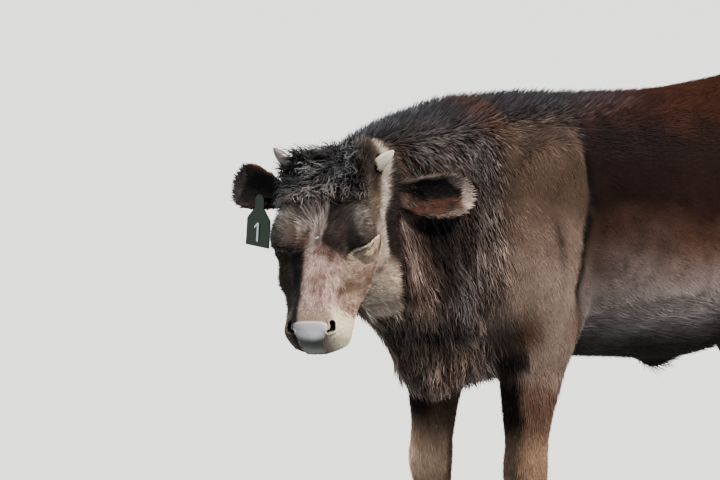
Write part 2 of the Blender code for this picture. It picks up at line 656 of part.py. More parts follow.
def nostril_cutter(side, helpers):
    """A comma-shaped pit beside the nose pad."""
    place = Vector((side * NOSTRIL_PLACE.x, NOSTRIL_PLACE.y, NOSTRIL_PLACE.z))
    cutter = blob(f"nostril_{side}", (0, 0, 0), (0.0060, 0.0125, 0.0120), helpers, detail=2)
    lean = Matrix.Rotation(math.radians(side * -30), 4, "Z")
    cutter.data.transform(HEAD @ Matrix.Translation(place) @ lean)
    return cutter


def eyelid_cutter(side, helpers):
    """The almond opening in front of the eyeball."""
    facing = Vector((side * EYE_FACING.x, EYE_FACING.y, EYE_FACING.z)).normalized()
    centre = Vector((side * EYE_PLACE.x, EYE_PLACE.y, EYE_PLACE.z)) + facing * (EYE_RADIUS * 0.95)
    cutter = blob(f"eyelids_{side}", (0, 0, 0), (0.0145, 0.0085, 0.014), helpers, detail=2)
    along = Vector((0, -1, 0)) - facing * Vector((0, -1, 0)).dot(facing)
    along.normalize()
    frame = Matrix((along, facing.cross(along), facing)).transposed().to_4x4()
    frame.translation = centre
    cutter.data.transform(HEAD @ frame)
    return cutter


def finish_node(obj, slot):
    obj.data.materials.clear()
    obj.data.materials.append(material(slot))
    obj.data.shade_smooth()


def centre_on_floor(objects):
    """Moves everything so that the origin is under the middle of the bounding box."""
    graph = bpy.context.evaluated_depsgraph_get()
    corners = []
    for obj in objects:
        corners += [Vector(corner) for corner in obj.evaluated_get(graph).bound_box]
    low = Vector(map(min, *corners))
    high = Vector(map(max, *corners))
    shift = Matrix.Translation((-(low.x + high.x) / 2, -(low.y + high.y) / 2, 0.0))
    for mesh in {obj.data for obj in bpy.data.objects if obj.type == "MESH"}:
        mesh.transform(shift)


def build():
    clear_scene()
    calf, helpers = collection("calf"), collection("cutters")

    body = fuse("body", [*trunk_forms(calf), *neck_forms(calf), *leg_forms(calf)], 0.008, 12, calf)
    head = fuse("skull_flesh", head_forms(calf), 0.0042, 11, calf)
    head.data.transform(HEAD)
    flesh = fuse("flesh", [body, head], 0.0062, 4, calf)
    cutter = gather("parting", part_cutters(calf), calf)
    nodes = part_flesh(flesh, cutter, calf)

    for name, side in SIDES.items():
        eye = blob(f"eye_{name}", HEAD @ Vector((side * EYE_PLACE.x, EYE_PLACE.y, EYE_PLACE.z)),
                   (EYE_RADIUS,) * 3, calf, detail=2)
        nodes[eye.name] = eye
        nodes[f"ear_{name}"] = ear(f"ear_{name}", side, calf)
        nodes[f"horn_{name}"] = horn(f"horn_{name}", side, calf)
        for guest in (eye, nodes[f"horn_{name}"]):
            socket(nodes["head"], guest, helpers)
        socket(nodes["head"], nodes[f"ear_{name}"], helpers, grow=2 * GAP)
        carve(nodes["head"], nostril_cutter(side, helpers))
        carve(nodes["head"], eyelid_cutter(side, helpers))

    nodes["tail"] = tail("tail", TAIL, calf)
    nodes["tail_switch"] = tail("tail_switch", SWITCH, calf, rings=9, count=10)
    socket(nodes["trunk"], nodes["tail"], helpers)
    socket(nodes["tail_switch"], nodes["tail"], helpers)

    for leg in STANCE:
        end, name = leg.split("_")
        for outer in (True, False):
            which = "outer" if outer else "inner"
            hoof = claw(f"claw_{leg}_{which}", leg, outer, calf)
            nub = dewclaw(f"dewclaw_{leg}_{which}", leg, outer, calf)
            nodes[hoof.name], nodes[nub.name] = hoof, nub
            socket(nodes[f"{end}leg_{name}"], nub, helpers)

    for piece in ear_tag(calf):
        nodes[piece.name] = piece
    socket(nodes["ear_right"], nodes["ear_tag_stud"], helpers)

    for name, obj in nodes.items():
        slot = next((s for s in ("horn", "eye", "claw") if s in name), "coat")
        if name.startswith("ear_tag"):
            slot = "tag_print" if "digit" in name else "tag"
        finish_node(obj, slot)
    centre_on_floor(nodes.values())


build()
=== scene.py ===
"""The looks of the standing calf: one skin under a coat of tufts, with eyes, horns, claws and ear tag.

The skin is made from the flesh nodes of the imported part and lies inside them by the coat's depth.
Every field of the coat (length, lift, lie, width, colour) is a smooth function over the skin.
"""

import itertools
import json
import math

import bmesh
import bpy
import numpy as np
from mathutils import Matrix, Vector
from mathutils.bvhtree import BVHTree
from mathutils.kdtree import KDTree

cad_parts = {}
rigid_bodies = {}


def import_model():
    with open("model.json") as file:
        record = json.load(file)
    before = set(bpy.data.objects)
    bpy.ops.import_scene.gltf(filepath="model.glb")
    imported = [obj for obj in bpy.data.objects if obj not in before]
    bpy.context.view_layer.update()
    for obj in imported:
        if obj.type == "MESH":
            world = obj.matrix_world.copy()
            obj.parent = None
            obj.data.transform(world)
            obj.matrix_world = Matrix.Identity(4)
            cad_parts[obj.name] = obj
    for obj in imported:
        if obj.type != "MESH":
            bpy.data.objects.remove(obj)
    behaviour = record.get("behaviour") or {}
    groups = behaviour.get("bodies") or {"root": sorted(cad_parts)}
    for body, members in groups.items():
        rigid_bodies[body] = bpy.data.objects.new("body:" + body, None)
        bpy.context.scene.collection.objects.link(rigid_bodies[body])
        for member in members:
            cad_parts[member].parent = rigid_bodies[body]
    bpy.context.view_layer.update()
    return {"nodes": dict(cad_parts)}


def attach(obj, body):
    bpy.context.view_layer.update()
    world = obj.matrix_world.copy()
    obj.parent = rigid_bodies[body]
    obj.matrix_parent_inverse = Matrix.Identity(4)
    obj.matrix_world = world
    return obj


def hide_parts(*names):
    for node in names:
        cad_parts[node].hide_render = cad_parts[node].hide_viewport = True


SEED = 11
VOXEL = 0.0034                    # grid of the first skin
GROW = 0.0006                     # closes the thin cuts between the flesh nodes
BODY_SHARE = 0.30                 # of the first skin's triangles that are kept
# the skin under the hair is painted darker than the coat by this factor: painted shade inside the coat
UNDERCOAT_SHADE = 0.75            # the skin's colour under the coat, over the coat's own
ROOT_DEPTH = 0.0012               # how far under the skin a tuft begins
WAVE_LENGTH = 0.026
RAGGED = 0.25                     # by how much the tufts' lengths differ
BLADE = ((-1.0, -0.25), (1.0, -0.25), (0.0, 0.65))   # a tuft's section, over half its width
FLOOR_REACH = 90.0

# The part's own frame, before it was centred on the floor.
HEAD_LENGTH = 0.345
HEAD_PLACE = Vector((0.058, -0.794, 0.920))
HEAD_ANGLES = (37.0, 56.0, -4.0)  # about Z, X and Y
SHEATH_TIP = (0.0, 0.066, 0.462)
CORONET = 0.060                   # height of the claws' upper edge

# The head's frame: +X to its left, -Y to the nose, +Z out of the face.
EYE_PLACE = Vector((0.0740, -0.156, -0.034))
EYE_FACING = Vector((0.90, -0.28, 0.34))
LID_AIM = Vector((-0.30, -1.0, 0.10))
EYE_RADIUS = 0.0170
SOCKET_GAP = 0.0012
LID_LENGTH, LID_HEIGHT = 0.0095, 0.0030   # half sizes of the opening between the lids
LID_RISE = 0.0030                 # from the eye's middle up to the middle of the opening
NOSTRIL = (np.array((0.0375, -0.3160, -0.0250)), np.array((0.0300, -0.3270, -0.0310)))
NOSTRIL_RADII = (0.0060, 0.0034)
NOSTRIL_FACING = np.array((0.45, -0.65, 0.60))
NOSTRIL_PLUG = Vector((0.0320, -0.3190, -0.0350))   # fills the solid's own pit, so that a finer one is cut
PLUG_RADIUS = 0.0130
FOLDS = 4                         # creases on each side of the nose
HORN_ROOT = (0.075, -0.012, -0.018)
WHORL_Y = -0.164                  # the whorl on the forehead

FLESH = (
    "head", "neck", "trunk", "foreleg_left", "foreleg_right", "hindleg_left", "hindleg_right",
    "tail", "tail_switch", "ear_left", "ear_right",
)
(
    HEAD, NECK, TRUNK, FORE_LEFT, FORE_RIGHT, HIND_LEFT, HIND_RIGHT, TAIL, SWITCH, EAR_LEFT, EAR_RIGHT,
) = range(len(FLESH))
SIDES = {"left": 1, "right": -1}
EAR_SIDES = ((EAR_LEFT, 1), (EAR_RIGHT, -1))
FIELDS = ("length", "lift", "width", "wave")
LAYERS = 2.6                      # how many tufts lie over each other
EXTRA_LAYERS = {"head": 2.4, "long": 2.8, "mop": 3.4, "crest": 3.0}

BLACK = (0.006, 0.005, 0.005)
SOOT = (0.014, 0.010, 0.009)
RUSSET = (0.034, 0.013, 0.008)
BROWN = (0.085, 0.056, 0.040)
CREAM = (0.720, 0.580, 0.420)


# ---------------------------------------------------------------- arrays

def unit(vectors):
    return vectors / np.maximum(np.linalg.norm(vectors, axis=-1, keepdims=True), 1e-9)


def dot(a, b):
    return np.sum(a * b, axis=-1)


def ramp(values, low, high):
    """Smoothly from 0 at low to 1 at high."""
    t = np.clip((values - low) / (high - low), 0, 1)
    return t * t * (3 - 2 * t)


def bump(values, middle, width):
    return np.exp(-((values - middle) / width) ** 2)


def blend(base, colour, weight):
    weight = np.asarray(weight)[:, None]
    return base * (1 - weight) + np.asarray(colour) * weight


def layered(base, layers):
    """Colours or directions laid over one another in turn, each with its own weight."""
    for value, weight in layers:
        base = blend(base, value, weight)
    return base


def stacked(*columns):
    """Columns side by side as rows. A plain number counts for every row."""
    return np.stack(np.broadcast_arrays(*columns), axis=-1)


def lattice(cell, seed):
    mixed = cell[:, 0] * 73856093 ^ cell[:, 1] * 19349663 ^ cell[:, 2] * 83492791 ^ seed * 2654435
    mixed = (mixed ^ (mixed >> 13)) * 1274126177 & 0xFFFFFFFF
    return (mixed ^ (mixed >> 16)) / 2 ** 31 - 1


def noise(points, size, seed):
    """Smooth noise from -1 to 1, with forms of about that size."""
    place = points / size + 100.0
    cell = np.floor(place).astype(np.int64)
    part = place - cell
    part = part * part * (3 - 2 * part)
    total = np.zeros(len(points))
    for corner in itertools.product((0, 1), repeat=3):
        weight = np.prod(np.where(corner, part, 1 - part), axis=1)
        total += weight * lattice(cell + corner, seed)
    return total


# ---------------------------------------------------------------- meshes

def make_mesh(name, points, faces, smooth=True):
    """A mesh object from arrays, where every face has the same number of corners."""
    corners = faces.shape[1]
    mesh = bpy.data.meshes.new(name)
    mesh.vertices.add(len(points))
    mesh.vertices.foreach_set("co", points.astype(np.float32).ravel())
    mesh.loops.add(faces.size)
    mesh.loops.foreach_set("vertex_index", faces.astype(np.int32).ravel())
    mesh.polygons.add(len(faces))
    mesh.polygons.foreach_set("loop_start", np.arange(0, faces.size, corners, dtype=np.int32))
    mesh.polygons.foreach_set("use_smooth", np.full(len(faces), smooth))
    mesh.update(calc_edges=True)
    obj = bpy.data.objects.new(name, mesh)
    bpy.context.scene.collection.objects.link(obj)
    return obj


def points_of(mesh):
    points = np.zeros(len(mesh.vertices) * 3, np.float32)
    mesh.vertices.foreach_get("co", points)
    return points.reshape(-1, 3).astype(float)


def triangles_of(mesh):
    mesh.calc_loop_triangles()
    triangles = np.zeros(len(mesh.loop_triangles) * 3, np.int32)
    mesh.loop_triangles.foreach_get("vertices", triangles)
    return triangles.reshape(-1, 3).astype(int)


def edges_of(triangles):
    pairs = np.concatenate([triangles[:, (0, 1)], triangles[:, (1, 2)], triangles[:, (2, 0)]])
    span = triangles.max() + 1
    keys = np.unique(pairs.min(axis=1) * span + pairs.max(axis=1))
    return np.stack([keys // span, keys % span], axis=1)


def normals_of(points, triangles):
    a, b, c = (points[triangles[:, k]] for k in range(3))
    face = np.cross(b - a, c - a)
    total = np.zeros_like(points)
    for k, axis in itertools.product(range(3), range(3)):
        total[:, axis] += np.bincount(triangles[:, k], face[:, axis], len(points))
    return unit(total)


def neighbour_mean(values, edges, count):
    total = np.empty_like(values)
    for k in range(values.shape[1]):
        total[:, k] = np.bincount(edges[:, 0], values[edges[:, 1], k], len(values))
        total[:, k] += np.bincount(edges[:, 1], values[edges[:, 0], k], len(values))
    return total / count[:, None]


def relaxed(values, edges, share, rounds, pushes=(0.5,)):
    """Values evened out over the mesh. With a push back after each push, forms keep their size."""
    count = np.maximum(np.bincount(edges.ravel(), minlength=len(values)), 1)
    share = np.broadcast_to(np.asarray(share, float), (len(values),))[:, None]
    for _, push in itertools.product(range(rounds), pushes):
        values = values + push * share * (neighbour_mean(values, edges, count) - values)
    return values


# ---------------------------------------------------------------- frames

def head_matrix():
    turn, drop, tilt = (math.radians(a) for a in HEAD_ANGLES)
    return (
        Matrix.Translation(HEAD_PLACE)
        @ Matrix.Rotation(turn, 4, "Z")
        @ Matrix.Rotation(drop, 4, "X")
        @ Matrix.Rotation(tilt, 4, "Y")
    )


def frame_shift(nodes):
    """How far the part was moved when it was centred, read from its left eye."""
    eye = points_of(nodes["eye_left"].data)
    middle = (eye.min(0) + eye.max(0)) / 2
    return middle - np.array(head_matrix() @ EYE_PLACE)


def in_head(points, vectors=False):
    """World points, or vectors, in the head's frame: +X its left, -Y to the nose, +Z out of the face."""
    turn = np.array(head_matrix().to_3x3())
    if vectors:
        return points @ turn
    return (points - SHIFT - np.array(HEAD_PLACE)) @ turn


def out_of_head(vectors):
    return vectors @ np.array(head_matrix().to_3x3()).T


def mirrored(place, side):
    """A place or direction given for the left of the head, on that side of it."""
    return Vector((side * place.x, place.y, place.z))


def eye_frame(side):
    """Centre, along the lids towards the nose, up to the brow and out of the eye, in the head's frame."""
    facing = mirrored(EYE_FACING, side).normalized()
    along = mirrored(LID_AIM, side)
    along = (along - facing * along.dot(facing)).normalized()
    up = along.cross(facing) * side
    return tuple(np.array(v) for v in (mirrored(EYE_PLACE, side), along, up, facing))


# ---------------------------------------------------------------- the skin

def flesh_object(nodes):
    """The flesh nodes as one mesh, each grown a little so that they run into each other."""
    whole = bmesh.new()
    for name in FLESH:
        part = bmesh.new()
        part.from_mesh(nodes[name].data)
        bmesh.ops.remove_doubles(part, verts=part.verts, dist=1e-5)
        part.normal_update()
        for vert in part.verts:
            vert.co += vert.normal * GROW
        grown = bpy.data.meshes.new("grown")
        part.to_mesh(grown)
        part.free()
        whole.from_mesh(grown)
        bpy.data.meshes.remove(grown)
    for side in SIDES.values():
        for middle, radius in ((EYE_PLACE, EYE_RADIUS + SOCKET_GAP), (NOSTRIL_PLUG, PLUG_RADIUS)):
            place = Matrix.Translation(head_matrix() @ mirrored(middle, side) + Vector(SHIFT))
            bmesh.ops.create_icosphere(whole, subdivisions=3, radius=radius, matrix=place)
    mesh = bpy.data.meshes.new("flesh")
    whole.to_mesh(mesh)
    whole.free()
    obj = bpy.data.objects.new("flesh", mesh)
    bpy.context.scene.collection.objects.link(obj)
    return obj


def evaluated_mesh(obj):
    graph = bpy.context.evaluated_depsgraph_get()
    graph.update()
    mesh = bpy.data.meshes.new_from_object(obj.evaluated_get(graph))
    bpy.data.objects.remove(obj)
    return mesh


def remeshed(obj):
    grid = obj.modifiers.new("grid", "REMESH")
    grid.mode = "VOXEL"
    grid.voxel_size = VOXEL
    grid.adaptivity = 0.0
    return evaluated_mesh(obj)


def thinned(points, triangles, keep, ratio):
    """Fewer triangles where keep is 0, the same where it is 1."""
    obj = make_mesh("thin", points, triangles)
    group = obj.vertex_groups.new(name="thin")
    for level in (0.0, 1.0):
        chosen = np.nonzero(np.round(1 - keep) == level)[0]
        group.add(chosen.tolist(), level, "REPLACE")
    fewer = obj.modifiers.new("fewer", "DECIMATE")
    fewer.ratio = ratio
    fewer.vertex_group = "thin"
    fewer.vertex_group_factor = 10.0
    mesh = evaluated_mesh(obj)
    return points_of(mesh), triangles_of(mesh)


def refined(points, triangles, fine):
    """Each edge between two fine points is halved."""
    obj = make_mesh("fine", points, triangles)
    bm = bmesh.new()
    bm.from_mesh(obj.data)
    bm.verts.ensure_lookup_table()
    edges = [e for e in bm.edges if fine[e.verts[0].index] and fine[e.verts[1].index]]
    bmesh.ops.subdivide_edges(bm, edges=edges, cuts=1, use_grid_fill=True, smooth=0.0)
    bmesh.ops.triangulate(bm, faces=[f for f in bm.faces if len(f.verts) > 3])
    bm.to_mesh(obj.data)
    bm.free()
    points, triangles = points_of(obj.data), triangles_of(obj.data)
    bpy.data.objects.remove(obj)
    return points, triangles


def node_weights(points, edges, nodes):
    """For each skin point, how much it belongs to each flesh node, with soft borders."""
    places, faces, owner = [], [], []
    start = 0
    for index, name in enumerate(FLESH):
        part = points_of(nodes[name].data)
        own = triangles_of(nodes[name].data)
        places.append(part)
        faces.append(own + start)
        owner.append(np.full(len(own), index))
        start += len(part)
    tree = BVHTree.FromPolygons(np.concatenate(places).tolist(), np.concatenate(faces).tolist())
    owner = np.concatenate(owner)
    nearest = [tree.find_nearest(place)[2] for place in points.tolist()]
    weights = np.eye(len(FLESH))[owner[np.array(nearest)]]
    return relaxed(weights, edges, 1.0, 10)


def eye_coordinates(q, side):
    """Along, up and out from the eye's centre, and how far out between the lids (1 on their edge)."""
    centre, along, up, facing = eye_frame(side)
    e = q - centre
    a, b, f = e @ along, e @ up, e @ facing
    height = np.where(b > LID_RISE, LID_HEIGHT, LID_HEIGHT * 0.8)
    share = (np.abs(a / LID_LENGTH) ** 2.0 + np.abs((b - LID_RISE) / height) ** 1.7) ** 0.5
    return a, b, f, share


def lid_line(a):
    """Height of the pale fold that runs over the opening, at a place along the eye."""
    places = (-0.033, -0.014, -0.002, 0.008, 0.023, 0.036)
    return np.interp(a, places, (-0.0160, 0.0000, 0.0085, 0.0130, 0.0180, 0.0160))


def shaped_lids(q):
    """Lids that wrap the eyeball, a heavier one above, with a crease over it and a tear groove."""
    for side in SIDES.values():
        centre = eye_frame(side)[0]
        a, b, f, share = eye_coordinates(q, side)
        e = q - centre
        reach = np.linalg.norm(e, axis=1)
        near = (f > 0.002) & (reach < 0.045)
        above = ramp(b, -0.002, 0.006)
        lid = 0.0016 + 0.0030 * above + 0.0012 * bump(share, 1.25, 0.25)
        opening = np.where(share < 1, -0.0030, 0.0) * ramp(share, 1.0, 0.9)
        target = EYE_RADIUS + opening + lid * ramp(share, 0.94, 1.08)
        crease = -0.0016 * bump(share, 2.3, 0.22) * above * ramp(b, 0.006, 0.012)
        hold = 1 - ramp(share, 1.5, 2.9)
        new_reach = reach + (target - reach) * hold + crease
        tear = bump(b + 0.10 * (a - LID_LENGTH), -0.0015, 0.0016) * ramp(a, 0.012, 0.016)
        new_reach -= 0.0018 * (tear * ramp(a, 0.034, 0.024))
        over_line = b - lid_line(a)
        ridge = 0.0012 * bump(over_line, -0.0008, 0.0018) - 0.0012 * bump(over_line, 0.0028, 0.0020)
        new_reach += ramp(a, -0.034, -0.024) * ramp(a, 0.038, 0.030) * ridge
        q = np.where(near[:, None], centre + unit(e) * new_reach[:, None], q)
    return q


def pad_share(q):
    """1 on the edge of the bare nose pad, less inside."""
    x, y, z = q.T
    heights = (-0.090, -0.070, -0.050, -0.036, -0.020)
    width = np.interp(z, heights, (0.020, 0.020, 0.0205, 0.0235, 0.0335))
    top = 1 + (y + 0.3165) / 0.022
    bottom = 1 + (-0.0885 - z) / 0.022
    share = sum(np.clip(s, 0, 3) ** 6 for s in (np.abs(x) / width, top, bottom)) ** (1 / 6)
    return np.where(y < -0.300, share, 9.0)


def nostril_distance(q):
    """Distance to the comma of the nearer nostril over its own radius."""
    start, end = NOSTRIL
    x, y, z = q.T
    place = stacked(np.abs(x), y, z) - start
    run = end - start
    along = unit(run)
    out = unit(NOSTRIL_FACING)
    out = unit(out - along * (out @ along))
    across = np.cross(along, out)
    share = place @ along / np.linalg.norm(run)
    t = np.clip(share, 0, 1)
    gap_along = (share - t) * np.linalg.norm(run)
    sag = 0.0035 * np.sin(math.pi * t)
    gap = np.hypot(place @ across + sag, gap_along)
    radius = NOSTRIL_RADII[0] + t * (NOSTRIL_RADII[1] - NOSTRIL_RADII[0])
    near = (y < -0.300) & (z > -0.060)
    return np.where(near, gap / radius, 9.0)


def mouth_height(q):
    """Height of the mouth line, in the head's frame, at a place along the muzzle."""
    return -0.0905 - 0.035 * np.clip((-0.330 - q[:, 1]) / -0.09, -0.3, 1.0)


def shaped_muzzle(q, normals):
    """Nostrils, nose pad, mouth line and folds, as moves along the skin's normals."""
    x, y, z = q.T
    nostril = nostril_distance(q)
    move = 0.0018 * bump(nostril, 1.55, 0.35)
    move -= 0.0130 * ramp(nostril, 1.05, 0.45)
    pad = pad_share(q)
    move += 0.0012 * ramp(pad, 1.05, 0.85)
    move -= 0.0012 * bump(x, 0, 0.0016) * ramp(pad, 1.1, 0.9) * ramp(z, -0.060, -0.075)
    along = ramp(y, -0.262, -0.285)
    line = z - mouth_height(q)
    move -= 0.0036 * bump(line, 0, 0.0017) * along
    move += 0.0016 * (bump(line, 0.006, 0.004) + bump(line, -0.006, 0.004)) * along
    side = ramp(np.abs(x), 0.020, 0.034)
    for step in range(FOLDS):
        wave = y - (-0.300 + 0.011 * step) + 0.25 * (z + 0.050)
        move -= 0.0007 * (bump(wave, 0, 0.0012) * side * ramp(z, -0.075, -0.060) * ramp(z, -0.020, -0.032))
    return q + normals * move[:, None]


def shaped_face(q, normals):
    """Broad soft forms of the face: the crest under the eye, jaw vein and cheek hollows."""
    x = np.abs(q[:, 0])
    t = -q[:, 1] / HEAD_LENGTH
    on_face = ramp(t, 0.30, 0.42) * ramp(t, 0.95, 0.85)
    crest_height = -0.062 - 0.02 * (t - 0.5)
    move = 0.0035 * bump(q[:, 2], crest_height, 0.010) * on_face * ramp(x, 0.030, 0.045)
    move -= 0.0030 * bump(q[:, 2], crest_height + 0.026, 0.013) * ramp(t, 0.52, 0.62) * ramp(t, 0.85, 0.75)
    move += 0.0015 * noise(q * (1, 0.4, 1), 0.022, 5) * on_face * ramp(x, 0.030, 0.050)
    return q + normals * move[:, None]


class Skin:
    """The skin's points and triangles, and how much each point belongs to each flesh node."""

    def __init__(self, points, triangles, weights):
        self.triangles, self.weights = triangles, weights
        self.place(points)

    def place(self, points):
        """Sets the points, also in the head's frame (q), in the part's own (c) and along the head (t)."""
        self.points = points
        self.normals = normals_of(points, self.triangles)
        self.q = in_head(points)
        self.c = self.points - SHIFT
        self.t = -self.q[:, 1] / HEAD_LENGTH


def detail_masks(points):
    """Head and ears; eyes, nose and mouth; and their finest parts."""
    q = in_head(points)
    x, y, z = q.T
    near_head = (np.abs(x) < 0.30) & (y > -0.40) & (y < 0.06) & (np.abs(z + 0.06) < 0.16)
    eye_gap = np.full(len(points), 9.0)
    for side in SIDES.values():
        centre, _, _, facing = eye_frame(side)
        eye_gap = np.minimum(eye_gap, np.linalg.norm(q - centre - facing * 0.010, axis=1))
    muzzle = (y < -0.255) & near_head & (np.abs(z + 0.066) < 0.075)
    fine = (eye_gap < 0.040) | muzzle
    nose = (y < -0.308) & near_head & (z > -0.100) & (z < -0.020)
    mouth = muzzle & (np.abs(z - mouth_height(q)) < 0.010)
    finest = (eye_gap < 0.026) | nose | mouth
    return near_head, fine, finest


def smooth_skin(nodes):
    """The flesh's surface, evened out: coarse on the body, finer on the head, finest round its features."""
    mesh = remeshed(flesh_object(nodes))
    points, triangles = points_of(mesh), triangles_of(mesh)
    points = relaxed(points, edges_of(triangles), 1.0, 3, pushes=(0.5, -0.53))
    near_head = detail_masks(points)[0]
    points, triangles = thinned(points, triangles, near_head.astype(float), BODY_SHARE)
    edges = edges_of(triangles)
    near_head = detail_masks(points)[0]
    body = relaxed((~near_head).astype(float)[:, None], edges, 1.0, 8)[:, 0]
    points = relaxed(points, edges, 0.12 + 0.88 * body, 12)
    for level in (1, 2):
        points, triangles = refined(points, triangles, detail_masks(points)[level])
    return points, triangles


def build_skin(nodes):
    """The smooth skin, sunk by the coat's depth, with the forms of the face."""
    points, triangles = smooth_skin(nodes)
    edges = edges_of(triangles)
    features = detail_masks(points)[1].astype(float)
    points = relaxed(points, edges, features, 4)
    skin = Skin(points, triangles, node_weights(points, edges, nodes))
    depth = relaxed(coat_fields(skin)["depth"][:, None], edges, 1.0, 4)
    points = points - skin.normals * depth
    points = relaxed(points, edges, np.clip(depth[:, 0] / 0.010, 0.1, 1.0) * (1 - 0.7 * features), 5)
    q = in_head(points)
    normals = in_head(normals_of(points, triangles), vectors=True)
    ear = skin.weights[:, EAR_LEFT] + skin.weights[:, EAR_RIGHT]
    face = (skin.weights[:, HEAD] * (1 - ear))[:, None]
    shaped = shaped_face(q, normals)
    normals = in_head(normals_of(points + out_of_head(shaped - q) * face, triangles), vectors=True)
    shaped = shaped_lids(shaped_muzzle(shaped, normals))
    skin.place(points + out_of_head(shaped - q) * face)
    return skin


# ---------------------------------------------------------------- fields of the coat

def behind_jaw(q):
    """How far behind the cheek, or under the jaw, a place lies."""
    heights = (-0.20, -0.152, -0.122, -0.103, -0.083, -0.070, -0.055, -0.03)
    rear = np.interp(q[:, 2], heights, (-0.165, -0.142, -0.113, -0.095, -0.064, -0.035, 0.010, 0.055))
    places = (0.0, 0.04, 0.10, 0.150, 0.172, 0.198)
    under = np.interp(-q[:, 1], places, (-0.125, -0.150, -0.168, -0.205, -0.238, -0.238))
    below = np.where(q[:, 1] > -0.20, under - q[:, 2], -0.05)
    return np.maximum(q[:, 1] - rear, below)


def parts_of(skin):
    """Named shares of the regions that the coat differs in, each from 0 to 1."""
    w, t = skin.weights, skin.t
    x, y, z = skin.c.T
    side, ahead, rise = skin.q.T
    off = np.abs(side)
    up = skin.normals[:, 2]
    down = -in_head(skin.normals, vectors=True)[:, 2]
    edge = behind_jaw(skin.q)
    part = {}
    part["ears"] = w[:, EAR_LEFT] + w[:, EAR_RIGHT]
    part["legs"] = w[:, FORE_LEFT:HIND_RIGHT + 1].sum(axis=1)
    part["tail"] = w[:, TAIL]
    part["switch"] = w[:, SWITCH]
    head = w[:, HEAD] * ramp(edge, 0.010, -0.010)
    body = w[:, NECK] + w[:, TRUNK] + w[:, HEAD] - head
    part["head"], part["body"] = head, body
    near = (w[:, HEAD] + w[:, NECK]) * ramp(t, 0.9, 0.3) * ramp(off, 0.060, 0.080)
    inset = 0.010 - 0.007 * ramp(rise, -0.150, -0.175)
    # the groove between jaw and neck, which is also painted black as painted shadow
    part["gorge_and_painted_shade"] = near * bump(edge, inset, 0.008) * ramp(rise, -0.050, -0.066)
    part["gorge_and_painted_shade"] *= 1 - 0.6 * bump(rise, -0.135, 0.022)
    part["jowl"] = (w[:, NECK] + w[:, HEAD] - head) * ramp(edge, 0.006, -0.004)
    part["jowl"] *= ramp(rise, -0.268, -0.246)
    part["jowl"] *= ramp(side, 0.020, 0.035) * ramp(side, 0.101, 0.091)
    part["ruff"] = near * ramp(edge, 0.006, 0.020) * ramp(edge, 0.16, 0.09) * w[:, HEAD]
    part["forehead"] = head * ramp(t, 0.50, 0.34) * ramp(off, 0.060, 0.035) * ramp(rise, -0.05, -0.02)
    from_horn = np.linalg.norm(stacked(off, ahead, rise) - HORN_ROOT, axis=1)
    part["horns"] = bump(from_horn, 0, 0.030)
    part["mop"] = w[:, HEAD] * ramp(t, 0.34, 0.14) * ramp(rise, -0.085, -0.050)
    part["mop"] *= 1 - 0.9 * ramp(side + 0.35 * ahead, 0.034, 0.048) * ramp(rise, 0.020, 0.002)
    part["muzzle"] = head * ramp(t, 0.78, 0.90)
    part["jaw"] = head * ramp(down, 0.45, 0.80) * ramp(rise, -0.085, -0.105) * ramp(side, 0.045, 0.030)
    seam = np.interp(z, (0.56, 0.66, 0.80, 0.95), (-0.520, -0.485, -0.470, -0.445))
    part["long"] = body * ramp(y - seam, 0.026, -0.026) * ramp(z, 0.50, 0.58) * (1 - 0.9 * part["jowl"])
    part["nape"] = part["long"] * ramp(z, 0.80, 0.90)
    part["top"] = body * ramp(up, 0.35, 0.85) * ramp(z, 0.70, 0.85)
    ridge = 0.35 + 0.65 * ramp(np.abs(x - 0.01), 0.10, 0.03)
    part["crest"] = part["top"] * ramp(y, 0.10, -0.20) * ridge
    part["belly"] = w[:, TRUNK] * ramp(up, -0.2, -0.7)
    part["brisket"] = body * ramp(z, 0.62, 0.55) * ramp(y, -0.40, -0.50)
    part["bare"] = bare_share(skin)
    return part


def bare_share(skin):
    """1 where there is no hair: nose pad, nostrils, lips' edges and lids."""
    q = skin.q
    share = ramp(pad_share(q), 1.02, 0.92)
    share = np.maximum(share, ramp(nostril_distance(q), 1.5, 1.3))
    line = np.abs(q[:, 2] - mouth_height(q)) + 0.02 * ramp(q[:, 1], -0.285, -0.262)
    share = np.maximum(share, ramp(line, 0.0035, 0.0022))
    for side in SIDES.values():
        _, _, f, lid = eye_coordinates(q, side)
        share = np.maximum(share, ramp(lid, 1.45, 1.30) * (f > 0))
    return share * skin.weights[:, HEAD]


